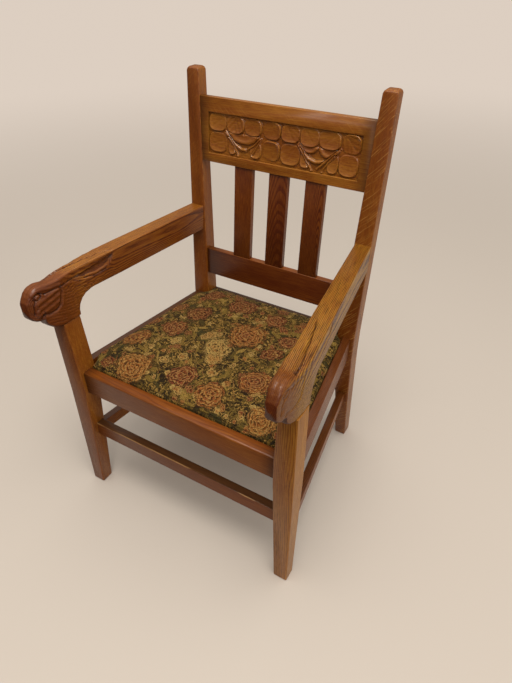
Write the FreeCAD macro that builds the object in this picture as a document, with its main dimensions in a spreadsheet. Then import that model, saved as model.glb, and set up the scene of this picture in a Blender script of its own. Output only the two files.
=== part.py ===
import FreeCAD, Part
import math
import os
import re
import Sketcher

# Oak open armchair: four posts with seat rails and stretchers, a raked back of three slats under
# a carved crest panel, arms that end in eagle's heads, and a drop-in seat that lifts out.
# Millimetres, +X to the right and +Y to the back as seen from the front, +Z up.
# The origin is on the floor, in the middle of the chair's length and width.

SIZES = [
    ("seat_height", 430, "floor to the top of the seat rails"),
    ("seat_depth", 488, "front face of the front posts to front face of the back posts, at the seat"),
    ("seat_rail_height", 68, "depth of the seat rails"),
    ("front_post_spread", 662, "over the front posts"),
    ("front_post_height", 583, "floor to the shoulder under the arm"),
    ("front_post_width", 52, "section of the front post at the seat rails"),
    ("front_post_depth", 52, "the same, front to back"),
    ("front_foot_width", 37.5, "section of the front post at the floor"),
    ("front_foot_depth", 36, "the same, front to back"),
    ("front_foot_lean", 6.5, "the foot stands this far ahead of the post's face at the seat"),
    ("front_top_width", 43, "width of the front post under the arm"),
    ("back_post_height", 1058, "floor to the top of the back post"),
    ("back_post_spread", 538, "over the back posts at the seat"),
    ("back_foot_spread", 532, "over the back posts at the floor"),
    ("back_top_spread", 550, "over the back posts at the top"),
    ("back_post_width", 51, "section of the back post at the seat rails"),
    ("back_post_depth", 48, "the same, front to back"),
    ("back_foot_width", 33, "section of the back post at the floor"),
    ("back_foot_depth", 40, "the same, front to back"),
    ("back_top_width", 36, "section of the back post at the top"),
    ("back_top_depth", 36, "the same, front to back"),
    ("back_leg_rake", 49, "the back foot stands this far behind the post's face at the seat"),
    ("back_rake", 4.3, "degrees that the back leans"),
    ("post_crown", 9, "height of the rounded top of the back post"),
    ("post_arris", 1.8, "chamfer on the long edges of the posts"),
    ("foot_chamfer", 3, "height of the chamfer round each foot"),
    ("tenon_length", 22, "how far the tenons reach into the posts"),
    ("tenon_thickness", 10, "thickness of the tenons"),
    ("tenon_shoulder", 8, "shoulder above and below a tenon"),
    ("mortise_gap", 1, "depth left at the end of a mortise"),
    ("front_rail_thickness", 40, "front to back"),
    ("front_rail_ledge", 26, "top of the front rail that shows before the drop-in seat"),
    ("side_rail_thickness", 34, "across"),
    ("side_rail_ledge", 22, "top of a side rail that shows beside the drop-in seat"),
    ("rear_rail_thickness", 32, "front to back"),
    ("rear_rail_ledge", 19, "top of the rear rail that shows behind the drop-in seat"),
    ("rail_setback", 10.5, "front and side rails lie this far inside the faces of the posts"),
    ("rear_rail_setback", 2, "the rear rail lies this far inside the backs of the posts"),
    ("rail_round", 5, "rounding of the front rail's top edge"),
    ("rail_arris", 1.5, "rounding of the other edges of rails and stretchers"),
    ("rebate_depth", 16, "depth of the rebate that holds the drop-in seat"),
    ("front_stretcher_foot", 197, "floor to the underside of the front stretcher"),
    ("front_stretcher_height", 43, "its depth"),
    ("front_stretcher_thickness", 22.5, "its thickness"),
    ("front_stretcher_setback", 15, "behind the front face of the front posts"),
    ("rear_stretcher_setback", 12, "behind the front face of the back legs"),
    ("side_stretcher_foot", 174, "floor to the underside of the side stretchers"),
    ("side_stretcher_height", 34, "their depth"),
    ("side_stretcher_thickness", 21.5, "their thickness"),
    ("side_stretcher_setback", 11.4, "inside the outer faces of the posts"),
    ("crest_drop_share", 0.0882, "crest panel below the posts' shoulders, as a share of the leaning back"),
    ("crest_height_share", 0.2594, "depth of the crest panel, as a share of the leaning back"),
    ("crest_thickness", 20, "its thickness"),
    ("crest_setback", 2, "behind the front face of the back posts"),
    ("field_top_margin", 36, "plain border above the carved field"),
    ("field_foot_margin", 23, "plain border below the carved field"),
    ("field_side_margin", 28, "plain border at each end of the carved field"),
    ("field_sink", 7, "depth of the sunk field"),
    ("low_rail_foot_share", 0.1112, "lower back rail above the seat, as a share of the leaning back"),
    ("low_rail_height_share", 0.1289, "depth of the lower back rail, as a share of the leaning back"),
    ("low_rail_thickness", 20, "its thickness"),
    ("low_rail_setback", 5, "behind the front face of the back posts"),
    ("slat_width", 54, "width of a back slat"),
    ("slat_thickness", 16, "thickness of a back slat"),
    ("slat_pitch", 104, "middle to middle of the slats"),
    ("slat_setback", 6, "behind the front face of the back posts"),
    ("slat_tenon", 12, "length of a slat's tenons"),
    ("head_height", 124, "shoulder of the front post to the top of the arm"),
    ("arm_height", 69, "depth of the arm where it meets the back post"),
    ("arm_step", 3.1, "the arm's inner face lies this far outside the inner face of the back post"),
    ("arm_front_width", 46, "width of the arm over the front post"),
    ("arm_tenon_width", 18, "width of the stub tenon into the back post"),
    ("arm_tenon_height", 40, "depth of the stub tenon into the back post"),
    ("post_tenon_side", 24, "side of the square tenon on top of the front post"),
    ("post_tenon_height", 34, "its height"),
    ("beak_reach", 77, "how far the beak stands ahead of the front post"),
    ("beak_width", 21, "width of the beak"),
    ("neck_radius", 42, "curve from the back of the front post into the arm"),
    ("neck_clearance", 2, "the neck stands this far behind the post"),
    ("block_leg", 56, "length of a corner block along each rail"),
    ("block_height", 40, "height of a corner block"),
    ("block_drop", 2, "the blocks lie this far below the rebate's floor"),
    ("seat_clearance", 1.2, "space between the drop-in seat and the rebate"),
    ("seat_rest_gap", 0.3, "between the covered seat frame and the rebate's floor"),
    ("cover_thickness", 1.5, "thickness of the tapestry cover"),
    ("seat_front_notch", 30, "the seat's front corners are cut back this far behind the posts"),
    ("seat_rear_notch", 24, "the seat's rear corners are cut back this far before the posts"),
    ("seat_post_gap", 4, "between the seat and the inner faces of the posts"),
    ("seat_frame_width", 58, "width of the seat frame's rails"),
    ("seat_frame_thickness", 20, "thickness of the seat frame's rails"),
    ("seat_frame_tenon", 20, "length of the seat frame's tenons"),
    ("seat_frame_shoulder", 12, "shoulder beside those tenons"),
    ("webbing_width", 50, "width of a strap of webbing"),
    ("webbing_thickness", 1.6, "thickness of the webbing"),
    ("webbing_lap", 38, "how far the webbing laps over the seat frame"),
    ("webbing_pitch", 92, "middle to middle of the straps"),
    ("hessian_thickness", 1, "thickness of the hessian"),
    ("hessian_inset", 12, "the hessian stops this far inside the seat's edge"),
    ("pad_crown", 17, "height of the stuffing over the hessian"),
    ("pad_corner", 8, "rounding of the seat's corners"),
    ("cover_turn", 26, "how far the cover is turned under the frame"),
]

PLACES = [
    ("front_y", "(beak_reach - seat_depth - back_leg_rake - back_foot_depth) / 2",
     "front face of the front posts"),
    ("back_y", "front_y + seat_depth", "front face of the back posts at the seat"),
    ("rail_foot", "seat_height - seat_rail_height", "underside of the seat rails"),
    ("rebate_floor", "seat_height - rebate_depth", "ledge that carries the drop-in seat"),
    ("front_outer", "front_post_spread / 2", "outer faces of the front posts"),
    ("back_outer", "back_post_spread / 2", "outer faces of the back posts at the seat"),
    ("front_inner", "front_outer - front_post_width", "inner faces of the front posts at the seat"),
    ("back_inner", "back_outer - back_post_width", "inner faces of the back posts at the seat"),
    ("front_post_back", "front_y + front_post_depth", "backs of the front posts"),
    ("front_rail_front", "front_y + rail_setback", "front face of the front seat rail"),
    ("rear_rail_back", "back_y + back_post_depth - rear_rail_setback", "back face of the rear seat rail"),
    ("side_front_x", "front_outer - rail_setback", "outer face of a side rail at the front post"),
    ("side_back_x", "back_outer - rail_setback", "outer face of a side rail at the back post"),
    ("side_slope", "(side_front_x - side_back_x) / (back_y - front_post_back)", "how a side rail closes in"),
    ("side_mid_z", "side_stretcher_foot + side_stretcher_height / 2", "middle of the side stretchers"),
    ("side_share", "side_mid_z / rail_foot", "share of the leg below the side stretchers"),
    ("foot_back", "front_y + front_foot_depth - front_foot_lean", "back of the front leg at the floor"),
    ("leg_back_y", "foot_back * (1 - side_share) + front_post_back * side_share",
     "back of the front leg at the side stretchers"),
    ("leg_front_y", "back_y + back_leg_rake * (1 - side_share)",
     "front of the back leg at the side stretchers"),
    ("leg_outer_x", "(back_foot_spread * (1 - side_share) + back_post_spread * side_share) / 2",
     "outer face of the back leg at the side stretchers"),
    ("cross_share", "(front_stretcher_foot + front_stretcher_height / 2) / rail_foot",
     "share of the leg below the front and rear stretchers"),
    ("rear_stretcher_y", "back_y + back_leg_rake * (1 - cross_share) + rear_stretcher_setback",
     "front face of the rear stretcher"),
    ("front_leg_inner", "front_outer - front_foot_width * (1 - cross_share) - front_post_width * cross_share",
     "inner face of the front leg at its stretcher"),
    ("foot_inner", "back_foot_spread / 2 - back_foot_width", "inner face of the back leg at the floor"),
    ("rear_leg_inner", "foot_inner * (1 - cross_share) + back_inner * cross_share",
     "inner face of the back leg at its stretcher"),
    ("post_shoulder", "back_post_height - post_crown", "where the top of the back post starts to round"),
    ("back_rise", "post_shoulder - seat_height", "height of the leaning part of the back post"),
    ("top_y", "back_y + tan(back_rake) * back_rise", "front face of the back post at its shoulder"),
    ("back_run", "back_rise / cos(back_rake)", "length of the leaning back along the posts"),
    ("crest_top", "back_run * (1 - crest_drop_share)", "top of the crest panel along the back"),
    ("crest_foot", "crest_top - back_run * crest_height_share",
     "underside of the crest panel along the back"),
    ("low_rail_foot", "back_run * low_rail_foot_share", "underside of the lower back rail along the back"),
    ("low_rail_top", "low_rail_foot + back_run * low_rail_height_share",
     "top of the lower back rail along the back"),
    ("arm_top", "front_post_height + head_height", "floor to the top of the arm"),
    ("arm_foot", "arm_top - arm_height", "underside of the arm"),
    ("arm_share", "(arm_top - arm_height / 2 - seat_height) / back_rise",
     "share of the back post below the arm"),
    ("arm_back_y", "back_y + (top_y - back_y) * arm_share", "front face of the back post at the arm"),
    ("arm_back_outer", "back_outer + (back_top_spread - back_post_spread) / 2 * arm_share",
     "outer face of the arm at the back post"),
    ("arm_post_width", "back_post_width * (1 - arm_share) + back_top_width * arm_share",
     "width of the back post at the arm"),
    ("arm_back_inner", "arm_back_outer - arm_post_width + arm_step",
     "inner face of the arm at the back post"),
    ("arm_front_inner", "front_outer - arm_front_width", "inner face of the arm over the front post"),
    ("arm_middle", "front_outer - arm_front_width / 2", "middle of the eagle's head"),
    ("seat_front", "front_rail_front + front_rail_ledge + seat_clearance", "front edge of the covered seat"),
    ("seat_back", "rear_rail_back - rear_rail_ledge - seat_clearance", "back edge of the covered seat"),
    ("seat_foot", "rebate_floor + seat_rest_gap", "underside of the covered seat"),
    ("frame_foot", "seat_foot + cover_thickness", "underside of the seat frame"),
    ("frame_top", "frame_foot + seat_frame_thickness", "top of the seat frame"),
    ("webbing_top", "frame_top + webbing_thickness", "top of the lower straps"),
    ("straps_top", "webbing_top + webbing_thickness", "top of the crossing straps"),
    ("hessian_top", "straps_top + hessian_thickness", "top of the hessian"),
]

doc = FreeCAD.newDocument("armchair")
sizes = doc.addObject("Spreadsheet::Sheet", "sizes")
places = doc.addObject("Spreadsheet::Sheet", "places")
size_names = {row[0] for row in SIZES}
place_names = {row[0] for row in PLACES}


def link(expression, inside_places=False):
    """Writes each name of the two sheets in full."""
    def full(match):
        word = match[0]
        if word in size_names:
            return "sizes." + word
        if word in place_names and not inside_places:
            return "places." + word
        return word
    return re.sub(r"[a-z][a-z0-9_]*", full, expression)


for row, (name, number, note) in enumerate(SIZES, 1):
    sizes.set(f"A{row}", note)
    sizes.set(f"B{row}", str(number))
    sizes.setAlias(f"B{row}", name)
doc.recompute()
for row, (name, formula, note) in enumerate(PLACES, 1):
    places.set(f"A{row}", note)
    places.set(f"B{row}", "=" + link(formula, inside_places=True))
    places.setAlias(f"B{row}", name)
    doc.recompute()

finished = []


def value(expression):
    """The number that an expression on the two sheets gives."""
    return float(places.evalExpression(link(expression, inside_places=True)))


def base_plane(body, role):
    return [item for item in body.Origin.OriginFeatures if item.Role == role][0]


def outline(body, role, corners, offset="0"):
    """A closed sketch of straight lines through corners, each a pair of expressions."""
    sketch = body.newObject("Sketcher::SketchObject", body.Name + "_outline")
    sketch.AttachmentSupport = [(base_plane(body, role), "")]
    sketch.MapMode = "FlatFace"
    sketch.setExpression("AttachmentOffset.Base.z", link(offset))
    points = [FreeCAD.Vector(value(across), value(up), 0) for across, up in corners]
    for start, end in zip(points, points[1:] + points[:1]):
        sketch.addGeometry(Part.LineSegment(start, end))
    last = len(points) - 1
    for line in range(len(points)):
        sketch.addConstraint(Sketcher.Constraint("Coincident", line, 2, 0 if line == last else line + 1, 1))
    for line, pair in enumerate(corners):
        for kind, expression in zip(("DistanceX", "DistanceY"), pair):
            number = sketch.addConstraint(Sketcher.Constraint(kind, -1, 1, line, 1, value(expression)))
            sketch.setExpression(f"Constraints[{number}]", link(expression))
    return sketch


def lean_back(item):
    """Puts a piece that is drawn upright on the seat line into the leaning back."""
    item.Placement = FreeCAD.Placement(
        FreeCAD.Vector(0, value("back_y"), value("seat_height")),
        FreeCAD.Rotation(FreeCAD.Vector(1, 0, 0), -value("back_rake")),
    )
    item.setExpression("Placement.Base.y", link("back_y"))
    item.setExpression("Placement.Base.z", link("seat_height"))
    item.setExpression("Placement.Rotation.Angle", link("-back_rake"))


def prism(name, role, corners, low, high, leaning=False):
    """A body padded from an outline, from low to high along the plane's normal."""
    body = doc.addObject("PartDesign::Body", name)
    sketch = outline(body, role, corners, low)
    pad = body.newObject("PartDesign::Pad", name + "_pad")
    pad.Profile = sketch
    pad.setExpression("Length", link(f"({high}) - ({low})"))
    if leaning:
        lean_back(body)
    doc.recompute()
    return body


def slab(name, across, deep, high, leaning=False):
    """A plain block between pairs of expressions for X, Y and Z."""
    corners = [(across[0], deep[0]), (across[1], deep[0]), (across[1], deep[1]), (across[0], deep[1])]
    return prism(name, "XY_Plane", corners, high[0], high[1], leaning)


def round_edges(body, radius, wanted):
    """Rounds the body's edges whose middle point and direction satisfy wanted."""
    base = body.Tip
    names = []
    for number, edge in enumerate(base.Shape.Edges, 1):
        middle = edge.valueAt((edge.FirstParameter + edge.LastParameter) / 2)
        way = edge.tangentAt(edge.FirstParameter)
        if wanted(middle, way):
            names.append(f"Edge{number}")
    fillet = body.newObject("PartDesign::Fillet", body.Name + "_round")
    fillet.Base = (base, names)
    fillet.setExpression("Radius", link(radius))
    doc.recompute()
    return body


def cut(name, base, tools):
    result = doc.addObject("Part::Cut", name)
    result.Base = base
    if len(tools) == 1:
        result.Tool = tools[0]
    else:
        result.Tool = join(name + "_tools", tools)
    return result


def join(name, items):
    result = doc.addObject("Part::MultiFuse", name)
    result.Shapes = items
    return result


def finish(item, node):
    item.Label = node
    finished.append(item)
    return item


def along_x(middle, way):
    return abs(way.x) > 0.9


def along_z(middle, way):
    return abs(way.z) > 0.9


def mirrored(corners, side):
    """The same corners on the right or, with side -1, on the left."""
    return [(f"{side} * ({across})", up) for across, up in corners]


sides = {"right": 1, "left": -1}


# Posts: square sections joined by straight faces, their long edges lightly chamfered.
def post_section(body, side, height, outer, width, front, depth, inset="0"):
    arris = "post_arris"
    far = f"({outer}) - ({inset})"
    near = f"({outer}) - ({width}) + ({inset})"
    face = f"({front}) + ({inset})"
    back = f"({front}) + ({depth}) - ({inset})"
    corners = [
        (near, f"{face} + {arris}"), (f"{near} + {arris}", face),
        (f"{far} - {arris}", face), (far, f"{face} + {arris}"),
        (far, f"{back} - {arris}"), (f"{far} - {arris}", back),
        (f"{near} + {arris}", back), (near, f"{back} - {arris}"),
    ]
    return outline(body, "XY_Plane", mirrored(corners, side), height)


def post(name, side, sections):
    body = doc.addObject("PartDesign::Body", name)
    sketches = [post_section(body, side, *section) for section in sections]
    loft = body.newObject("PartDesign::AdditiveLoft", name + "_loft")
    loft.Profile = sketches[0]
    loft.Sections = sketches[1:]
    loft.Ruled = True
    doc.recompute()
    return body


# Rounded top of the back post: rise and draw-in, as shares of the crown.
post_crown_shares = [(0.55, 0.20), (0.90, 0.60), (1.00, 1.00)]

front_foot = ("front_outer", "front_foot_width", "front_y - front_foot_lean", "front_foot_depth")
front_waist = ("front_outer", "front_post_width", "front_y", "front_post_depth")
front_head = ("front_outer", "front_top_width", "front_y", "front_post_depth")
front_sections = [
    ("0", *front_foot, "foot_chamfer / 2"),
    ("foot_chamfer", *front_foot),
    ("rail_foot", *front_waist),
    ("seat_height", *front_waist),
    ("front_post_height", *front_head),
]
back_foot = ("back_foot_spread / 2", "back_foot_width", "back_y + back_leg_rake", "back_foot_depth")
back_waist = ("back_outer", "back_post_width", "back_y", "back_post_depth")
back_head = ("back_top_spread / 2", "back_top_width", "top_y", "back_top_depth")
back_sections = [
    ("0", *back_foot, "foot_chamfer / 2"),
    ("foot_chamfer", *back_foot),
    ("rail_foot", *back_waist),
    ("seat_height", *back_waist),
    ("post_shoulder", *back_head),
]
for up_share, in_share in post_crown_shares:
    height = f"post_shoulder + post_crown * {up_share}"
    back_sections.append((height, *back_head, f"post_crown * {in_share}"))
front_blanks = {}
back_blanks = {}
mortises = {}
for word, side in sides.items():
    front_blanks[word] = post(f"front_blank_{word}", side, front_sections)
    back_blanks[word] = post(f"back_blank_{word}", side, back_sections)
    mortises["front_" + word] = []
    mortises["back_" + word] = []


# A rail is a bar scribed to the posts at both ends, with a tenon that runs on into each of them.
def cross_rail(node, bar, posts, which, half, deep, high, leaning=False):
    tongue = slab(node + "_tenons", (f"-({half})", half), deep, high, leaning)
    slot = f"{half} + mortise_gap"
    for word, side in sides.items():
        inner_end = f"{side} * (({half}) - tenon_length * 2)"
        outer_end = f"{side} * ({slot})"
        ends = (inner_end, outer_end) if side > 0 else (outer_end, inner_end)
        mortises[which + word].append(slab(f"{node}_mortise_{word}", ends, deep, high, leaning))
    scribed = cut(node + "_scribed", bar, list(posts.values()))
    return join(node, [scribed, tongue])


# Front seat rail: rebated behind, with a rounded top edge in front.
rail_back = "front_rail_front + front_rail_thickness"
rebate_front = "front_rail_front + front_rail_ledge"
bar = prism("front_rail_bar", "YZ_Plane", [
    ("front_rail_front", "rail_foot"), (rail_back, "rail_foot"), (rail_back, "rebate_floor"),
    (rebate_front, "rebate_floor"), (rebate_front, "seat_height"), ("front_rail_front", "seat_height"),
], "-(front_inner + tenon_length)", "front_inner + tenon_length")
front_line = value("front_rail_front + rail_arris")
top_line = value("seat_height - rail_arris")
round_edges(bar, "rail_round", lambda at, way: along_x(at, way) and at.y < front_line and at.z > top_line)
foot_line = value("rail_foot + rail_arris")
round_edges(bar, "rail_arris", lambda at, way: along_x(at, way) and at.y < front_line and at.z < foot_line)
finish(cross_rail(
    "front_seat_rail", bar, front_blanks, "front_", "front_inner + tenon_length",
    ("front_rail_front + tenon_shoulder / 2", "front_rail_front + tenon_shoulder / 2 + tenon_thickness"),
    ("rail_foot + tenon_shoulder", "rebate_floor - tenon_shoulder / 2"),
), "front_seat_rail")

# Rear seat rail: rebated in front, near the backs of the posts.
rear_front = "rear_rail_back - rear_rail_thickness"
rebate_rear = "rear_rail_back - rear_rail_ledge"
bar = prism("rear_rail_bar", "YZ_Plane", [
    (rear_front, "rail_foot"), ("rear_rail_back", "rail_foot"), ("rear_rail_back", "seat_height"),
    (rebate_rear, "seat_height"), (rebate_rear, "rebate_floor"), (rear_front, "rebate_floor"),
], "-(back_inner + tenon_length)", "back_inner + tenon_length")
back_line = value("rear_rail_back - rail_arris")
round_edges(bar, "rail_arris", lambda at, way: along_x(at, way) and at.y > back_line)
finish(cross_rail(
    "rear_seat_rail", bar, back_blanks, "back_", "back_inner + tenon_length",
    ("rear_rail_back - tenon_shoulder / 2 - tenon_thickness", "rear_rail_back - tenon_shoulder / 2"),
    ("rail_foot + tenon_shoulder", "rebate_floor - tenon_shoulder / 2"),
), "rear_seat_rail")


# Front and rear stretchers, at one height so that the side mortises pass below them.
def cross_stretcher(node, posts, which, inner, face):
    back = f"{face} + front_stretcher_thickness"
    top = "front_stretcher_foot + front_stretcher_height"
    stretcher = slab(node + "_bar", (f"-({inner} + tenon_length)", f"{inner} + tenon_length"),
                     (face, back), ("front_stretcher_foot", top))
    round_edges(stretcher, "rail_arris", along_x)
    middle = f"({face}) + front_stretcher_thickness / 2"
    return cross_rail(
        node, stretcher, posts, which, f"{inner} + tenon_length",
        (f"{middle} - tenon_thickness / 2", f"{middle} + tenon_thickness / 2"),
        ("front_stretcher_foot + tenon_shoulder", f"{top} - tenon_shoulder"),
    )


finish(cross_stretcher("front_stretcher", front_blanks, "front_", "front_leg_inner",
                       "front_y + front_stretcher_setback"), "front_stretcher")
finish(cross_stretcher("rear_stretcher", back_blanks, "back_", "rear_leg_inner",
                       "rear_stretcher_y"), "rear_stretcher")


# Side rails and side stretchers run obliquely from the front posts to the back posts.
def oblique(name, side, line, inset, width, reach, low, high):
    """A strip of the given width beside the line, run on at both ends by reach."""
    (front_x, front_at), (back_x, back_at) = line
    slope = f"(({front_x}) - ({back_x})) / (({back_at}) - ({front_at}))"
    corners = []
    for across in (inset, f"({inset}) + ({width})"):
        corners.append((f"({front_x}) - ({across}) + {slope} * ({reach})", f"({front_at}) - ({reach})"))
        corners.append((f"({back_x}) - ({across}) - {slope} * ({reach})", f"({back_at}) + ({reach})"))
    order = [corners[0], corners[1], corners[3], corners[2]]
    return prism(name, "XY_Plane", mirrored(order, side), low, high)


def side_piece(node, word, line, bar, width, low, high):
    """Scribes a bar to the posts and gives it its tenons."""
    side = sides[word]
    inset = f"({width} - tenon_thickness) / 2"
    tongue = oblique(node + "_tenons", side, line, inset, "tenon_thickness", "tenon_length", low, high)
    reach = "tenon_length + mortise_gap"
    slot = oblique(node + "_mortise", side, line, inset, "tenon_thickness", reach, low, high)
    mortises["front_" + word].append(slot)
    mortises["back_" + word].append(slot)
    scribed = cut(node + "_scribed", bar, [front_blanks[word], back_blanks[word]])
    return finish(join(node, [scribed, tongue]), node)


rail_line = (("side_front_x", "front_post_back"), ("side_back_x", "back_y"))
stretcher_line = (("front_outer", "leg_back_y"), ("leg_outer_x", "leg_front_y"))
for word, side in sides.items():
    node = f"side_seat_rail_{word}"
    whole = oblique(node + "_bar", side, rail_line, "0", "side_rail_thickness", "tenon_length",
                    "rail_foot", "seat_height")
    middle_line = value("(side_front_x + side_back_x - side_rail_thickness) / 2")
    round_edges(whole, "rail_arris", lambda at, way: abs(way.y) > 0.9 and abs(at.x) > middle_line)
    rebate = oblique(node + "_rebate", side, rail_line, "side_rail_ledge", "side_rail_thickness",
                     "tenon_length", "rebate_floor", "seat_height + rebate_depth")
    bar = cut(node + "_rebated", whole, [rebate])
    side_piece(node, word, rail_line, bar, "side_rail_thickness", "rail_foot + tenon_shoulder",
               "rebate_floor - tenon_shoulder / 2")
    node = f"side_stretcher_{word}"
    inner_line = tuple((f"{across} - side_stretcher_setback", at) for across, at in stretcher_line)
    bar = oblique(node + "_bar", side, inner_line, "0", "side_stretcher_thickness", "tenon_length",
                  "side_stretcher_foot", "side_stretcher_foot + side_stretcher_height")
    round_edges(bar, "rail_arris", lambda at, way: abs(way.y) > 0.9)
    side_piece(node, word, inner_line, bar, "side_stretcher_thickness",
               "side_stretcher_foot + tenon_shoulder",
               "side_stretcher_foot + side_stretcher_height - tenon_shoulder")

# The back: a crest panel with a sunk field, a lower rail and three slats between them.
crest_back = "crest_setback + crest_thickness"
crest_half = "back_top_spread / 2 - back_top_width + tenon_length / 2"
crest_bar = slab("crest_bar", (f"-({crest_half})", crest_half), ("crest_setback", crest_back),
                 ("crest_foot", "crest_top"), leaning=True)
field_half = "back_top_spread / 2 - back_top_width - field_side_margin"
field = outline(crest_bar, "XZ_Plane", [
    (f"-({field_half})", "crest_foot + field_foot_margin"), (field_half, "crest_foot + field_foot_margin"),
    (field_half, "crest_top - field_top_margin"), (f"-({field_half})", "crest_top - field_top_margin"),
], "-crest_setback")
pocket = crest_bar.newObject("PartDesign::Pocket", "crest_field")
pocket.Profile = field
pocket.setExpression("Length", link("field_sink"))
doc.recompute()
crest_line = value("crest_top - rail_arris")
round_edges(crest_bar, "rail_arris", lambda at, way: along_x(at, way) and at.z > crest_line)
low_half = "back_inner + tenon_length"
low_bar = slab("low_rail_bar", (f"-({low_half})", low_half),
               ("low_rail_setback", "low_rail_setback + low_rail_thickness"),
               ("low_rail_foot", "low_rail_top"), leaning=True)
round_edges(low_bar, "rail_arris", along_x)

slat_mortises = []
slat_back = "slat_setback + slat_thickness"
for number, place in enumerate(("left", "centre", "right"), -1):
    node = f"slat_{place}"
    middle = f"{number} * slat_pitch"
    body = slab(node + "_bar", (f"{middle} - slat_width / 2", f"{middle} + slat_width / 2"),
                ("slat_setback", slat_back), ("low_rail_top", "crest_foot"), leaning=True)
    round_edges(body, "rail_arris", along_z)
    thick = ("slat_setback + tenon_shoulder / 2", f"{slat_back} - tenon_shoulder / 2")
    narrow = (f"{middle} - slat_width / 2 + tenon_shoulder", f"{middle} + slat_width / 2 - tenon_shoulder")
    tongue = slab(node + "_tenons", narrow, thick, ("low_rail_top - slat_tenon", "crest_foot + slat_tenon"),
                  leaning=True)
    slot_ends = ("low_rail_top - slat_tenon - mortise_gap", "crest_foot + slat_tenon + mortise_gap")
    slat_mortises.append(slab(node + "_mortise", narrow, thick, slot_ends, leaning=True))
    finish(join(node, [body, tongue]), node)

crest = cross_rail("crest_whole", crest_bar, back_blanks, "back_", crest_half,
                   ("crest_setback + field_sink + mortise_gap", f"{crest_back} - tenon_shoulder / 2"),
                   ("crest_foot + tenon_shoulder", "crest_top - tenon_shoulder"), leaning=True)
finish(cut("crest_panel", crest, slat_mortises), "crest_panel")
low_rail = cross_rail("low_rail_whole", low_bar, back_blanks, "back_", low_half,
                      ("low_rail_setback + tenon_shoulder / 2",
                       "low_rail_setback + low_rail_thickness - tenon_shoulder / 2"),
                      ("low_rail_foot + tenon_shoulder", "low_rail_top - tenon_shoulder"), leaning=True)
finish(cut("lower_back_rail", low_rail, slat_mortises), "lower_back_rail")


# Arms: an outline with rounded corners, carried across the plank and trimmed to its plan.
def rounded_wire(points):
    """A wire through (point, radius) pairs, each corner with a tangent arc of its radius."""
    starts = []
    ends = []
    arcs = []
    count = len(points)
    for index, (corner, radius) in enumerate(points):
        before = (points[index - 1][0] - corner).normalize()
        after = (points[(index + 1) % count][0] - corner).normalize()
        half = before.getAngle(after) / 2
        if radius == 0:
            starts.append(corner)
            ends.append(corner)
            arcs.append(None)
            continue
        run = radius / math.tan(half)
        start = corner + before * run
        end = corner + after * run
        toward = (before + after).normalize()
        middle = corner + toward * (radius / math.sin(half) - radius)
        starts.append(start)
        ends.append(end)
        arcs.append(Part.Arc(start, middle, end).toShape())
    edges = []
    for index in range(count):
        if arcs[index] is not None:
            edges.append(arcs[index])
        follower = (index + 1) % count
        edges.append(Part.LineSegment(ends[index], starts[follower]).toShape())
    return Part.Wire(edges)


# Places on the head, as shares of its length from the neck to the beak and of its height over the
# post, with the rounding of each corner as a share of the height.
head_shares = [
    (0.490, 0.000, 0.04),
    (0.715, 0.120, 0.07),
    (0.700, 0.300, 0.00),
    (0.800, 0.295, 0.05),
    (0.925, 0.360, 0.08),
    (1.000, 0.600, 0.14),
    (1.000, 0.700, 0.14),
    (0.885, 0.905, 0.14),
    (0.680, 1.000, 0.14),
]
# Half widths of the head, as shares of its length and of half the arm's width, with the rounding of
# each corner as a share of the length.
cheek_shares = [(0.300, 1.00, 0.25), (0.720, 0.80, 0.20)]
# Bend of the arm's sides over the post, and rounding of the beak's end, as shares of half their width.
bend_share = 4
beak_round_share = 0.8


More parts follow.
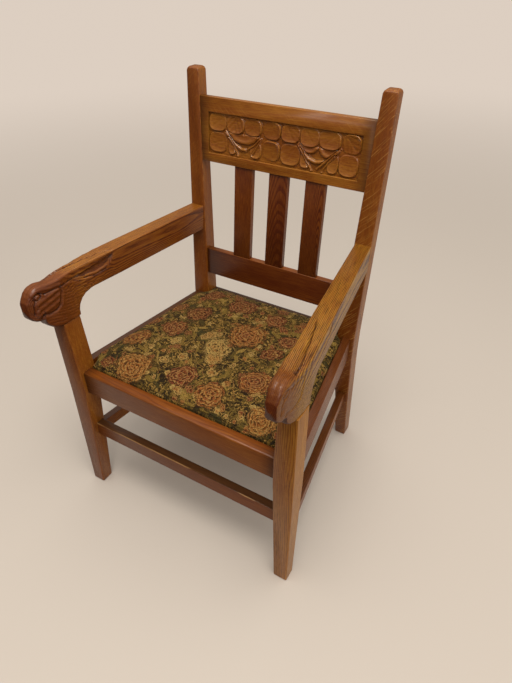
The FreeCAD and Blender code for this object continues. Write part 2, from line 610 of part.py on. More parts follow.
def arm_solid(side):
    neck_y = value("front_post_back + neck_clearance")
    length = value("front_post_depth + neck_clearance + beak_reach")
    foot = value("front_post_height")
    tall = value("arm_top - front_post_height")
    rear_end = value("arm_back_y + tenon_length / 2")
    top = value("arm_top")
    under = value("arm_foot")
    profile = [(FreeCAD.Vector(0, neck_y, foot), 0)]
    for along, up, radius in head_shares:
        profile.append((FreeCAD.Vector(0, neck_y - along * length, foot + up * tall), radius * tall))
    profile.append((FreeCAD.Vector(0, rear_end, top), 0))
    profile.append((FreeCAD.Vector(0, rear_end, under), 0))
    profile.append((FreeCAD.Vector(0, neck_y, under), value("neck_radius")))
    across = value("front_outer") * 2
    block = Part.Face(rounded_wire(profile)).extrude(FreeCAD.Vector(across, 0, 0))

    middle = value("arm_middle")
    half = value("arm_front_width") / 2
    beak_half = value("beak_width") / 2
    beak_y = neck_y - length
    slope_outer = (value("front_outer") - value("arm_back_outer")) / (value("arm_back_y") - neck_y)
    slope_inner = (value("arm_front_inner") - value("arm_back_inner")) / (value("arm_back_y") - neck_y)
    run_on = rear_end - value("arm_back_y")
    floor = 0
    plan = [(FreeCAD.Vector(value("arm_back_outer") - slope_outer * run_on, rear_end, floor), 0)]
    plan.append((FreeCAD.Vector(value("front_outer"), neck_y, floor), half * bend_share))
    for along, wide, radius in cheek_shares:
        plan.append((FreeCAD.Vector(middle + wide * half, neck_y - along * length, floor), radius * length))
    plan.append((FreeCAD.Vector(middle + beak_half, beak_y, floor), beak_half * beak_round_share))
    plan.append((FreeCAD.Vector(middle - beak_half, beak_y, floor), beak_half * beak_round_share))
    for along, wide, radius in reversed(cheek_shares):
        plan.append((FreeCAD.Vector(middle - wide * half, neck_y - along * length, floor), radius * length))
    plan.append((FreeCAD.Vector(value("arm_front_inner"), neck_y, floor), half * bend_share))
    # past the post's face the arm is drawn in, so that it stays inside the post's tapering sides
    inner_end = value("arm_back_inner") - slope_inner * run_on / 2
    plan.append((FreeCAD.Vector(inner_end, rear_end - run_on / 2, floor), 0))
    plan.append((FreeCAD.Vector(value("arm_back_inner + arm_step"), rear_end, floor), 0))
    trim = Part.Face(rounded_wire(plan)).extrude(FreeCAD.Vector(0, 0, top * 2))
    solid = block.common(trim)
    if side < 0:
        solid = solid.mirror(FreeCAD.Vector(0, 0, 0), FreeCAD.Vector(1, 0, 0))
    return solid


for word, side in sides.items():
    node = f"arm_{word}"
    plank = doc.addObject("Part::Feature", node + "_plank")
    plank.Shape = arm_solid(side)
    middle = f"{side} * (arm_back_outer + arm_back_inner) / 2"
    ends = ("arm_back_y - tenon_length", "arm_back_y + tenon_length")
    level = "arm_top - arm_height / 2"
    high = (f"{level} - arm_tenon_height / 2", f"{level} + arm_tenon_height / 2")
    wide = (f"{middle} - arm_tenon_width / 2", f"{middle} + arm_tenon_width / 2")
    stub = slab(node + "_stub", wide, ends, high)
    slot = slab(node + "_slot", wide, (ends[0], ends[1] + " + mortise_gap"), high)
    mortises["back_" + word].append(slot)
    head_x = f"{side} * (front_outer - front_top_width / 2)"
    head_y = "front_y + front_post_depth / 2"
    tenon = [(f"{head_x} - post_tenon_side / 2", f"{head_x} + post_tenon_side / 2"),
             (f"{head_y} - post_tenon_side / 2", f"{head_y} + post_tenon_side / 2")]
    socket = slab(node + "_socket", *tenon, ("front_post_height - post_tenon_height",
                                             "front_post_height + post_tenon_height + mortise_gap"))
    scribed = cut(node + "_scribed", plank, [back_blanks[word], socket])
    finish(join(node, [scribed, stub]), node)
    peg = slab(f"front_post_{word}_tenon", *tenon,
               ("front_post_height - post_tenon_height", "front_post_height + post_tenon_height"))
    slotted = cut(f"front_post_{word}_slotted", front_blanks[word], mortises["front_" + word])
    finish(join(f"front_post_{word}", [slotted, peg]), f"front_post_{word}")

for word in sides:
    finish(cut(f"back_post_{word}", back_blanks[word], mortises["back_" + word]), f"back_post_{word}")


# Corner blocks: glued in the four inner corners of the seat rails, cut round the posts.
def rail_inner(at):
    return f"side_front_x - side_rail_thickness - side_slope * (({at}) - front_post_back)"


def corner_block(node, side, rail_face, toward, blank):
    far = f"{rail_face} + {toward} * block_leg"
    corners = [
        (rail_inner(rail_face), rail_face), (f"{rail_inner(rail_face)} - block_leg", rail_face),
        (rail_inner(far), far),
    ]
    top = "rebate_floor - block_drop"
    triangle = prism(node + "_blank", "XY_Plane", mirrored(corners, side), f"{top} - block_height", top)
    finish(cut(node, triangle, [blank]), node)


for word, side in sides.items():
    corner_block(f"corner_block_front_{word}", side, rail_back, 1, front_blanks[word])
    corner_block(f"corner_block_rear_{word}", side, rear_front, -1, back_blanks[word])


# Drop-in seat: its outline follows the rebates and is notched round the posts.
def seat_edge(at):
    return f"side_front_x - side_rail_ledge - seat_clearance - side_slope * (({at}) - front_post_back)"


front_notch = "front_post_back + seat_front_notch"
rear_notch = "back_y - seat_rear_notch"
seat_corners = [
    ("front_inner - seat_post_gap", "seat_front"), ("front_inner - seat_post_gap", "front_post_back"),
    (seat_edge(front_notch), front_notch), (seat_edge(rear_notch), rear_notch),
    ("back_inner - seat_post_gap", "back_y"), ("back_inner - seat_post_gap", "seat_back"),
]


def seat_ring(name, inset, share, height):
    """The seat's outline drawn in by inset, scaled by share about its middle and set at a height."""
    right = [FreeCAD.Vector(value(across), value(at), 0) for across, at in seat_corners]
    left = [FreeCAD.Vector(-point.x, point.y, 0) for point in reversed(right)]
    wire = rounded_wire([(point, value("pad_corner")) for point in right + left])
    if inset > 0:
        wire = wire.makeOffset2D(-inset)
    wire = wire.scaled(share, FreeCAD.Vector(0, value("seat_front + seat_back") / 2, 0))
    ring = doc.addObject("Part::Feature", name)
    ring.Shape = wire
    ring.Placement = FreeCAD.Placement(FreeCAD.Vector(0, 0, value(height)), FreeCAD.Rotation())
    return ring


def seat_block(name, inset, low, high):
    block = doc.addObject("Part::Extrusion", name)
    block.Base = seat_ring(name + "_ring", inset, 1, low)
    block.DirMode = "Custom"
    block.Dir = FreeCAD.Vector(0, 0, 1)
    block.Solid = True
    block.setExpression("LengthFwd", link(f"({high}) - ({low})"))
    return block


# Crown of the seat: width and rise of its level lines, as shares of the outline and of the crown.
crown_shares = [
    (1.00, 0.00), (0.97, 0.26), (0.93, 0.48), (0.86, 0.70), (0.75, 0.87), (0.58, 0.97), (0.36, 1.00),
]


def dome(name, inset, crown):
    rings = []
    for number, (across, up) in enumerate(crown_shares):
        height = f"hessian_top + ({crown}) * {up}"
        rings.append(seat_ring(f"{name}_ring_{number}", inset, across, height))
    loft = doc.addObject("Part::Loft", name)
    loft.Sections = rings
    loft.Solid = True
    loft.Ruled = True
    return loft


def common(name, base, tool):
    result = doc.addObject("Part::Common", name)
    result.Base = base
    result.Tool = tool
    return result


cover_inset = value("cover_thickness")
inner_inset = value("cover_thickness + seat_rest_gap")
plate = seat_block("frame_plate", inner_inset, "frame_foot", "frame_top")
frame_front = "seat_front + seat_frame_width"
frame_back = "seat_back - seat_frame_width"
wide = ("-side_front_x", "side_front_x")
frame_high = ("frame_foot", "frame_top")
tenon_high = ("frame_foot + seat_frame_thickness / 3", "frame_top - seat_frame_thickness / 3")


def frame_strip(name, side, inset, width, reach, high):
    """A strip of the frame beside its outer edge, run on by reach before and behind."""
    near = f"{frame_front} - ({reach})"
    far = f"{frame_back} + ({reach})"
    corners = [
        (f"{seat_edge(near)} - ({inset})", near), (f"{seat_edge(far)} - ({inset})", far),
        (f"{seat_edge(far)} - ({width})", far), (f"{seat_edge(near)} - ({width})", near),
    ]
    return prism(name, "XY_Plane", mirrored(corners, side), *high)


frame_slots = []
for word, side in sides.items():
    node = f"seat_frame_{word}"
    strip = frame_strip(node + "_strip", side, "0", "seat_frame_width", "0", frame_high)
    narrow = ("cover_thickness + seat_frame_shoulder", "seat_frame_width - seat_frame_shoulder")
    tongue = frame_strip(node + "_tenons", side, *narrow, "seat_frame_tenon", tenon_high)
    reach = "seat_frame_tenon + mortise_gap"
    frame_slots.append(frame_strip(node + "_slots", side, *narrow, reach, tenon_high))
    finish(join(node, [common(node + "_rail", plate, strip), common(node + "_tongue", plate, tongue)]), node)
ends = {"seat_frame_front": ("seat_front", frame_front), "seat_frame_rear": (frame_back, "seat_back")}
for node, deep in ends.items():
    strip = slab(node + "_strip", wide, deep, frame_high)
    finish(cut(node, common(node + "_rail", plate, strip), frame_slots), node)

# Webbing: three straps from front to back and three across them, lapped over the frame.
lengthways = []
crossways = []
for number in (-1, 0, 1):
    middle = f"{number} * webbing_pitch"
    lengthways.append(slab(f"strap_long_{number + 2}",
                           (f"{middle} - webbing_width / 2", f"{middle} + webbing_width / 2"),
                           (f"{frame_front} - webbing_lap", f"{frame_back} + webbing_lap"),
                           ("frame_top", "webbing_top")))
    middle = f"(seat_front + seat_back) / 2 + {number} * webbing_pitch"
    reach = f"{seat_edge(middle)} - seat_frame_width + webbing_lap"
    crossways.append(slab(f"strap_cross_{number + 2}", (f"-({reach})", reach),
                          (f"{middle} - webbing_width / 2", f"{middle} + webbing_width / 2"),
                          ("webbing_top", "straps_top")))
finish(join("seat_webbing_lengthways", lengthways), "seat_webbing_lengthways")
finish(join("seat_webbing_crossways", crossways), "seat_webbing_crossways")
finish(seat_block("seat_hessian", value("hessian_inset"), "straps_top", "hessian_top"), "seat_hessian")
finish(dome("seat_stuffing", inner_inset, "pad_crown - seat_rest_gap"), "seat_stuffing")

# Tapestry cover: walls and crown in one, turned in below the frame and open in the middle there.
outer = join("cover_outer", [seat_block("cover_walls", 0, "seat_foot", "hessian_top"),
                             dome("cover_crown", 0, "pad_crown + cover_thickness")])
inner = join("cover_inner", [seat_block("cover_hollow", cover_inset, "frame_foot", "hessian_top"),
                             dome("cover_crown_hollow", cover_inset, "pad_crown")])
under = seat_block("cover_opening", value("cover_turn"), "seat_foot", "frame_top")
finish(cut("seat_cover", outer, [inner, under]), "seat_cover")

doc.recompute()
os.makedirs("parts", exist_ok=True)
for item in doc.Objects:
    if "Invalid" in item.State or "Error" in item.State:
        raise RuntimeError(f"{item.Name} failed: {item.State}")
for item in finished:
    shape = item.Shape
    if shape.isNull() or not shape.isValid():
        raise RuntimeError(f"{item.Label} has no valid shape")
    shape.exportStep(f"parts/{item.Label}.step")
    box = shape.optimalBoundingBox()
    print(f"{item.Label}: {len(shape.Solids)} solids, x {box.XMin:.0f}..{box.XMax:.0f}, "
          f"y {box.YMin:.0f}..{box.YMax:.0f}, z {box.ZMin:.0f}..{box.ZMax:.0f}")
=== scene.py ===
import math

import bmesh
import bpy
import numpy as np
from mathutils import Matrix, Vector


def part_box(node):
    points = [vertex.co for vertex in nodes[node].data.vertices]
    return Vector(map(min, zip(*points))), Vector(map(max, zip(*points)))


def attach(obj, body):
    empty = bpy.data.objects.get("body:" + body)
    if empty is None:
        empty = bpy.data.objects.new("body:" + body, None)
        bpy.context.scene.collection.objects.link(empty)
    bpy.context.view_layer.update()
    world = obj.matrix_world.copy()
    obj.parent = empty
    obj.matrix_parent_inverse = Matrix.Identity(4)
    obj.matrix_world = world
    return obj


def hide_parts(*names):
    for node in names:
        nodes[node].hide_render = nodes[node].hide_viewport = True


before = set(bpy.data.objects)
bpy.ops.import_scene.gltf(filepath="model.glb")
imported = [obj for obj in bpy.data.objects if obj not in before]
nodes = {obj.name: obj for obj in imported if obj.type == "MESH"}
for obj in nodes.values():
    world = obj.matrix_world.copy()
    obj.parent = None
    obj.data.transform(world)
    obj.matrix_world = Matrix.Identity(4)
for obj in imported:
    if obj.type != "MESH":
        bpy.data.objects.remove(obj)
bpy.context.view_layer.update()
mm = 0.001


class Knot:
    # one socket of a shader tree, so that shader maths reads as Python
    def __init__(self, tree, link):
        self.tree = tree
        self.link = link

    def node(self, kind, settings=None, inputs=None, output=0):
        made = self.tree.nodes.new(kind)
        for name, setting in (settings or {}).items():
            if name == "stops":
                fillRamp(made.color_ramp, setting)
            else:
                setattr(made, name, setting)
        for place, entry in (inputs or {}).items():
            if isinstance(entry, Knot):
                self.tree.links.new(entry.link, made.inputs[place])
            else:
                made.inputs[place].default_value = entry
        return Knot(self.tree, made.outputs[output])

    def maths(self, operation, *others):
        return self.node("ShaderNodeMath", {"operation": operation}, dict(enumerate((self, *others))))

    def reflected(self, operation, other):
        # the same with this value in second place, so that 1 - mask works
        return self.node("ShaderNodeMath", {"operation": operation}, {0: other, 1: self})

    def vector(self, operation, *others, output=0):
        entries = dict(enumerate((self, *others)))
        return self.node("ShaderNodeVectorMath", {"operation": operation}, entries, output)

    def __add__(self, other):
        return self.maths("ADD", other)

    def __radd__(self, other):
        return self.reflected("ADD", other)

    def __sub__(self, other):
        return self.maths("SUBTRACT", other)

    def __rsub__(self, other):
        return self.reflected("SUBTRACT", other)

    def __mul__(self, other):
        return self.maths("MULTIPLY", other)

    def __rmul__(self, other):
        return self.reflected("MULTIPLY", other)

    def __truediv__(self, other):
        return self.maths("DIVIDE", other)

    def __rtruediv__(self, other):
        return self.reflected("DIVIDE", other)

    def __pow__(self, other):
        return self.maths("POWER", other)

    def part(self, axis):
        return self.node("ShaderNodeSeparateXYZ", None, {0: self}, axis)

    def fade(self, low, high, start=0.0, end=1.0):
        # smooth step from start at low to end at high
        return self.node("ShaderNodeMapRange", {"interpolation_type": "SMOOTHSTEP"},
                         {0: self, 1: low, 2: high, 3: start, 4: end})

    def blend(self, first, second):
        # the colour first, turning into the colour second as this value goes to 1
        return self.node("ShaderNodeMix", {"data_type": "RGBA"}, {0: self, 6: first, 7: second}, 2)

    def noise(self, scale, detail=2.0, roughness=0.5, output=0):
        entries = {"Vector": self, "Scale": scale, "Detail": detail, "Roughness": roughness}
        return self.node("ShaderNodeTexNoise", None, entries, output)

    def ramp(self, *stops):
        # the colour at this value; each stop is its place and its colour
        return self.node("ShaderNodeValToRGB", {"stops": stops}, {0: self})


def fillRamp(ramp, stops):
    while len(ramp.elements) < len(stops):
        ramp.elements.new(0.5)
    for element, (place, colour) in zip(ramp.elements, stops):
        element.position = place
        element.color = rgba(colour)


def rgba(colour):
    return (*colour, 1.0)


def newMaterial(name):
    material = bpy.data.materials.new(name)
    material.use_nodes = True
    tree = material.node_tree
    shader = tree.nodes["Principled BSDF"]
    start = Knot(tree, None)
    return material, shader, start


def feed(shader, place, knot):
    knot.tree.links.new(knot.link, shader.inputs[place])


def addBump(shader, strength, distance, height):
    entries = {"Strength": strength, "Distance": distance, "Height": height}
    feed(shader, "Normal", height.node("ShaderNodeBump", None, entries))


def objectPlace(start):
    return start.node("ShaderNodeTexCoord", output="Object")


def attribute(start, name):
    return start.node("ShaderNodeAttribute", {"attribute_name": name}, output="Fac")


# Grid surfaces: rows x columns points in millimetres, joined by quads.
def gridFaces(rows, columns, ring):
    # each quad is a point, the next in its row and the two of the row after
    index = np.arange(rows * columns).reshape(rows, columns)
    if ring:
        index = np.concatenate([index, index[:, :1]], axis=1)
    corners = [index[:-1, :-1], index[:-1, 1:], index[1:, 1:], index[1:, :-1]]
    return np.stack(corners, axis=-1).reshape(-1, 4)


def makePiece(name, grids, ring=False, capped=False, sharp=40, material=None, merged=False):
    # grids is a list of rows x columns x 3 arrays; a ring closes each row, a cap closes its two end rows
    points = []
    faces = []
    first = 0
    for grid in grids:
        rows, columns, _ = grid.shape
        points.append(grid.reshape(-1, 3) * mm)
        faces.extend((gridFaces(rows, columns, ring) + first).tolist())
        if capped:
            faces.append([first + column for column in range(columns)])
            faces.append([first + rows * columns - 1 - column for column in range(columns)])
        first += rows * columns
    mesh = bpy.data.meshes.new(name)
    mesh.from_pydata(np.concatenate(points), [], faces)
    return finishMesh(name, mesh, sharp, material, merged)


def finishMesh(name, mesh, sharp, material, merged=False):
    shell = bmesh.new()
    shell.from_mesh(mesh)
    if merged:
        bmesh.ops.remove_doubles(shell, verts=shell.verts, dist=0.000001)
    bmesh.ops.recalc_face_normals(shell, faces=shell.faces)
    shell.to_mesh(mesh)
    shell.free()
    mesh.shade_smooth()
    mesh.set_sharp_from_angle(angle=math.radians(sharp))
    if material:
        mesh.materials.append(material)
    piece = bpy.data.objects.new(name, mesh)
    bpy.context.scene.collection.objects.link(piece)
    return piece


def addField(piece, name, values):
    # one value for each point, which a material reads by name
    field = piece.data.attributes.new(name, "FLOAT", "POINT")
    field.data.foreach_set("value", np.asarray(values, np.float32).ravel())


def fade(values, low, high):
    # smooth step from 0 at low to 1 at high: 3 t squared less 2 t cubed
    t = np.clip((values - low) / (high - low), 0, 1)
    return t * t * (3 - 2 * t)


def lineDistance(across, up, line):
    # distance of every point of two arrays from a line of straight runs
    nearest = np.full(np.broadcast(across, up).shape, 1e9)
    for (startX, startY), (endX, endY) in zip(line, line[1:]):
        runX = endX - startX
        runY = endY - startY
        t = ((across - startX) * runX + (up - startY) * runY) / (runX ** 2 + runY ** 2)
        t = np.clip(t, 0, 1)
        nearest = np.minimum(nearest, np.hypot(across - startX - t * runX, up - startY - t * runY))
    return nearest


def ridge(across, up, line, width):
    # 1 on the line, falling to 0 beside it in a bell curve
    return np.exp(-(lineDistance(across, up, line) / width) ** 2)


def roundAngles(count):
    return np.linspace(0, 2 * math.pi, count + 1)[:-1]


def middleOf(node):
    low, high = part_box(node)
    return (low + high) / 2


def softLine(knots, at, blur):
    # straight runs between knots, with their corners rounded by averaging over 2 x blur
    places, heights = zip(*knots)
    shifts = np.linspace(-blur, blur, 9)
    return np.mean([np.interp(at + shift, places, heights) for shift in shifts], axis=0)


def blurred(field, times):
    # each time a point becomes the mean of its four neighbours and itself, which counts twice
    for _ in range(times):
        wide = np.pad(field, 1, mode="edge")
        field = (wide[1:-1, :-2] + wide[1:-1, 2:] + wide[:-2, 1:-1] + wide[2:, 1:-1] + 2 * field) / 6
    return field


# Oak: growth rings round a pith beside the board, pores along them, and the colour of old wax.
oakLook = {
    "dark": (0.070, 0.0110, 0.0020),
    "middle": (0.190, 0.052, 0.0060),
    "amber": (0.400, 0.170, 0.0180),
    "poreAndShade": (0.030, 0.0080, 0.0025),
    "fleck": (0.40, 0.185, 0.042),
    # the pale of an edge from wear, which also stands for a painted highlight along it
    "wornAndLit": (0.46, 0.25, 0.085),
    # the colour of a top drawn darker
    "darkTop": (0.042, 0.022, 0.009),
    "ringPitch": 0.0024,
    "roughness": 0.46,
    "specular": 0.04,
    "coat": 0.55,
    "coatRoughness": 0.27,
    # painted light: how much paler the sides that face the window are drawn
    "paintedSideLight": 0.14,
}
grainTurns = {
    "across": (0, 0, 0),
    "deep": (0, 0, -90),
    "up": (0, 90, 0),
}
plainLook = dict(oakLook, dark=(0.20, 0.105, 0.045), middle=(0.33, 0.19, 0.085), amber=(0.47, 0.30, 0.15),
                 poreAndShade=(0.16, 0.080, 0.035), ringPitch=0.0040, coat=0.0, roughness=0.6)

# How a board is drawn. Noises are in cycles to a metre, along the grain and across it.
grain = {
    "wander": (2.4, 9.0, 9.0),
    "wanderBy": 0.020,
    "ripple": (11.0, 40.0, 40.0),
    "rippleBy": 0.0013,
    "pores": (38.0, 1150.0, 1150.0),
    "fine": (24.0, 520.0, 520.0),
    "cloud": (5.0, 16.0, 16.0),
    # how far each of these moves the tone
    "cloudTone": 0.52,
    "fineTone": 0.62,
    # a paler top: wear and painted light from above
    "wornAndLitTone": 0.42,
    "ringTone": 0.40,
    "polishTone": 0.36,
    # rays: how they lean, and their stretch along the board, outwards and round the pith
    "rayLean": 1.1,
    "rays": (400.0, 16.0, 90.0),
    "rayTurn": 0.09,
    "rayStrength": 0.62,
    # the most of the dark colour: dirt and painted shade on an edge beside a post, and painted shade in a
    # carved hollow
    "grimeMost": 0.72,
    "recessShadeMost": 0.88,
    # a pale edge, from wear and a painted highlight: metres from the edge where it starts and where it is
    # full
    "arrisReach": (0.0026, 0.0008),
    "arrisPale": 0.55,
    # strength and height in metres
    "bump": (0.35, 0.0004),
    # how far the noises of one board are from the next one's, in metres
    "apart": 0.37,
}


def makeWood(name, look, turn, centre, pith, tone, wornAndLit=0.5, flecks=0.0, contrast=0.5, seed=0.0,
             grime=None, polish=None, arris=None):
    # Rings: the fraction of the distance from the pith over the ring pitch. The tone is the board's own
    # plus clouds, fibres, wear and painted light on the top, painted light on the sides that face the window,
    # and less the rings, and picks a colour from dark to amber.
    # turn brings the grain onto X; pith is the pith's distance from the board's middle, across the grain.
    # The value after tone is how pale the top is, from wear and from painted light from above, or below 0 how
    # much darker the top is drawn. The dirt-and-shade mark is (axis, start, full): darkening towards the ends
    # beside the posts, away from the chair's middle, partly dirt and partly painted shade. polish is the two
    # values of Y between which the wood turns dark and smooth from handling. arris is the Y and Z of an edge
    # drawn pale: pale from wear by use, with a painted highlight along it.
    material, shader, start = newMaterial(name)
    place = objectPlace(start)
    moved = place.vector("SUBTRACT", tuple(centre))
    angles = tuple(math.radians(angle) for angle in turn)
    board = place.node("ShaderNodeMapping", None,
                       {"Vector": moved, "Rotation": angles, "Location": (seed, *pith)})
    along = board.part(0)
    side = board.part(1)
    rise = board.part(2)
    wander = (board.vector("MULTIPLY", grain["wander"]).noise(1.0, 2.0, 0.5) - 0.5) * grain["wanderBy"]
    ripple = board.vector("MULTIPLY", grain["ripple"]).noise(1.0, 2.0, 0.5) - 0.5
    radius = (side * side + rise * rise) ** 0.5 + wander + ripple * grain["rippleBy"]
    ring = (radius / look["ringPitch"]).maths("FRACT")
    early = ring.fade(0.0, 0.10) * ring.fade(0.62, 0.22)
    dashes = board.vector("MULTIPLY", grain["pores"]).noise(1.0, 2.0, 0.55).fade(0.47, 0.60)
    fine = board.vector("MULTIPLY", grain["fine"]).noise(1.0, 3.0, 0.6)
    cloud = board.vector("MULTIPLY", grain["cloud"]).noise(1.0, 3.0, 0.55)

    facing = start.node("ShaderNodeNewGeometry", output="Normal")
    top = facing.part(2).fade(0.25, 0.95)
    # painted light: the sides that face the window, towards +X, are drawn paler
    paintedSideLight = facing.part(0).fade(0.55, 0.95) * look["paintedSideLight"]
    handled = place.part(1).fade(*polish) if polish else 0.0
    striped = early * contrast * (1.0 - handled * 0.75)
    level = tone + (cloud - 0.5) * grain["cloudTone"] + (fine - 0.5) * grain["fineTone"]
    # painted light: the top is drawn paler, along with its wear
    level = level + top * (grain["wornAndLitTone"] * max(wornAndLit, 0)) + paintedSideLight
    level = level - striped * grain["ringTone"] - handled * grain["polishTone"]
    colour = level.ramp((0.0, look["dark"]), (0.5, look["middle"]), (1.0, look["amber"]))
    poreAndShade = rgba(look["poreAndShade"])
    if flecks > 0:
        rayAlong, rayOut, rayRound = grain["rays"]
        slanted = (along + radius * grain["rayLean"]) * rayAlong
        turned = rise.maths("ARCTAN2", side) * grain["rayTurn"] * rayRound
        rays = start.node("ShaderNodeCombineXYZ", None, {0: slanted, 1: radius * rayOut, 2: turned})
        shine = rays.noise(1.0, 1.0, 0.4).fade(0.61, 0.67) * (flecks * grain["rayStrength"])
        colour = shine.blend(colour, rgba(look["fleck"]))
    # below 0 the top is drawn darker instead
    if wornAndLit < 0:
        colour = (top * -wornAndLit).blend(colour, rgba(look["darkTop"]))
    dark = dashes * (0.22 * contrast + striped * 0.78) * 1.15
    colour = dark.blend(colour, poreAndShade)
    # painted shade, with dirt: the board is drawn darker towards its ends beside the posts
    if grime:
        axis, undarkened, darkened = grime
        away = place.part(axis).maths("ABSOLUTE") + wander
        colour = away.fade(undarkened, darkened, 0.0, grain["grimeMost"]).blend(colour, poreAndShade)
    # the edge is drawn pale: wear by use, and a painted highlight along it
    if arris:
        outward = place.part(1) - arris[0]
        upward = place.part(2) - arris[1]
        paleEdge = ((outward * outward + upward * upward) ** 0.5).fade(*grain["arrisReach"])
        paleEdge = paleEdge * (fine + ripple * 1.4).fade(0.44, 0.62)
        colour = (paleEdge * grain["arrisPale"]).blend(colour, rgba(look["wornAndLit"]))
    # painted shade: the wood is drawn darker in the carved hollows
    recess = attribute(start, "recess")
    colour = recess.fade(0.0, 1.0, 0.0, grain["recessShadeMost"]).blend(colour, poreAndShade)
    feed(shader, "Base Color", colour)
    feed(shader, "Roughness", look["roughness"] + dashes * 0.18 + recess * 0.2 + (cloud - 0.5) * 0.16)
    shader.inputs["Specular IOR Level"].default_value = look["specular"]
    shader.inputs["Coat Weight"].default_value = look["coat"]
    shader.inputs["Coat Roughness"].default_value = look["coatRoughness"]
    addBump(shader, *grain["bump"], (fine - 0.5) * 0.25 - dashes * early * 0.6)
    return material


# Each board: the way of its grain, its tone from dark (0) to amber (1), where its pith lies, how pale its
# top is from wear and painted light from above (below 0: how much darker it is drawn), its flecks and the
# contrast of its rings.
boards = {
    "front_post_left": ("up", 0.44, (0.060, 0.045), 0.3, 0.25, 0.4),
    "front_post_right": ("up", 0.68, (-0.055, 0.050), 0.3, 0.20, 0.4),
    "back_post_left": ("up", 0.42, (0.050, 0.060), 0.3, 0.20, 0.4),
    "back_post_right": ("up", 0.48, (0.010, 0.085), 0.3, 1.0, 0.35),
    "front_seat_rail": ("across", 0.46, (0.030, 0.100), 0.0, 0.0, 0.3),
    "rear_seat_rail": ("across", 0.20, (0.040, 0.090), -0.7, 0.0, 0.4),
    "side_seat_rail_left": ("deep", 0.28, (0.090, 0.030), -0.65, 0.0, 0.4),
    "side_seat_rail_right": ("deep", 0.30, (-0.090, 0.030), -0.2, 0.0, 0.4),
    "front_stretcher": ("across", 0.33, (0.020, 0.070), -0.75, 0.0, 0.4),
    "rear_stretcher": ("across", 0.36, (0.020, 0.070), 0.4, 0.0, 0.4),
    "side_stretcher_left": ("deep", 0.36, (0.050, 0.030), -0.4, 0.0, 0.4),
    "side_stretcher_right": ("deep", 0.36, (0.050, 0.030), -0.4, 0.0, 0.4),
    "crest_panel": ("across", 0.62, (0.060, 0.040), 0.3, 0.25, 0.18),
    "lower_back_rail": ("across", 0.16, (0.080, 0.050), 0.7, 0.0, 0.3),
    "slat_left": ("up", 0.22, (0.050, 0.070), 0.3, 0.0, 0.3),
    "slat_centre": ("up", 0.16, (0.080, 0.010), 0.3, 0.0, 0.4),
    "slat_right": ("up", 0.26, (0.015, 0.020), 0.3, 0.0, 0.55),
}
# the arms' planks run this many degrees off the chair's depth, and the right one is paler: partly its own
# colour, partly stronger painted light on the sides that face the window
armTurn = 7.1
paleArm = dict(oakLook, middle=(0.190, 0.062, 0.0060), amber=(0.390, 0.200, 0.0180), ringPitch=0.0031,
               paintedSideLight=0.40, coat=0.45)
oakOf = {}


def boardOak(node, way, tone, pith, wornAndLit, flecks, contrast, extraTurn=0.0, look=oakLook, **marks):
    # marks are makeWood's darker ends (dirt and painted shade), polish and arris
    turn = list(grainTurns[way])
    turn[2] += extraTurn
    seed = grain["apart"] * len(oakOf)
    oakOf[node] = makeWood("oak_" + node, look, turn, middleOf(node), pith, tone, wornAndLit, flecks, contrast,
                           seed, **marks)
    return oakOf[node]


# Posts, rails and stretchers: the CAD shapes with their edges eased.
edgeEase = {"width": 0.0011, "segments": 2, "angle": 28}


def easeBoard(node, material):
    # the CAD node's own mesh with its flat faces joined and a small round bevel on every edge
    mesh = nodes[node].data.copy()
    shell = bmesh.new()
    shell.from_mesh(mesh)
    bmesh.ops.remove_doubles(shell, verts=shell.verts, dist=0.00001)
    bmesh.ops.dissolve_limit(shell, angle_limit=math.radians(0.6), verts=shell.verts, edges=shell.edges)
    shell.to_mesh(mesh)
    shell.free()
    mesh.materials.clear()
    mesh.materials.append(material)
    mesh.shade_smooth()
    piece = bpy.data.objects.new(node + "_eased", mesh)
    bpy.context.scene.collection.objects.link(piece)
    bevel = piece.modifiers.new("ease", "BEVEL")
    bevel.width = edgeEase["width"]
    bevel.segments = edgeEase["segments"]
    bevel.limit_method = "ANGLE"
    bevel.angle_limit = math.radians(edgeEase["angle"])
    bevel.harden_normals = True
    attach(piece, "chair_frame")
    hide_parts(node)


# Darker ends beside the posts, partly dirt and partly painted shade: axis, and metres from the middle where
# the darkening starts and where it is full.
grimeOf = {
    "crest_panel": (0, 0.188, 0.242),
    "lower_back_rail": (0, 0.150, 0.240),
    "front_seat_rail": (0, 0.235, 0.285),
}
for node, (way, tone, pith, wornAndLit, flecks, contrast) in boards.items():
    low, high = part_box(node)
    arris = (low[1], high[2]) if node in ("front_seat_rail", "front_stretcher") else None
    oak = boardOak(node, way, tone, pith, wornAndLit, flecks, contrast, grime=grimeOf.get(node), arris=arris)
    easeBoard(node, oak)
print("boards eased:", len(boards))


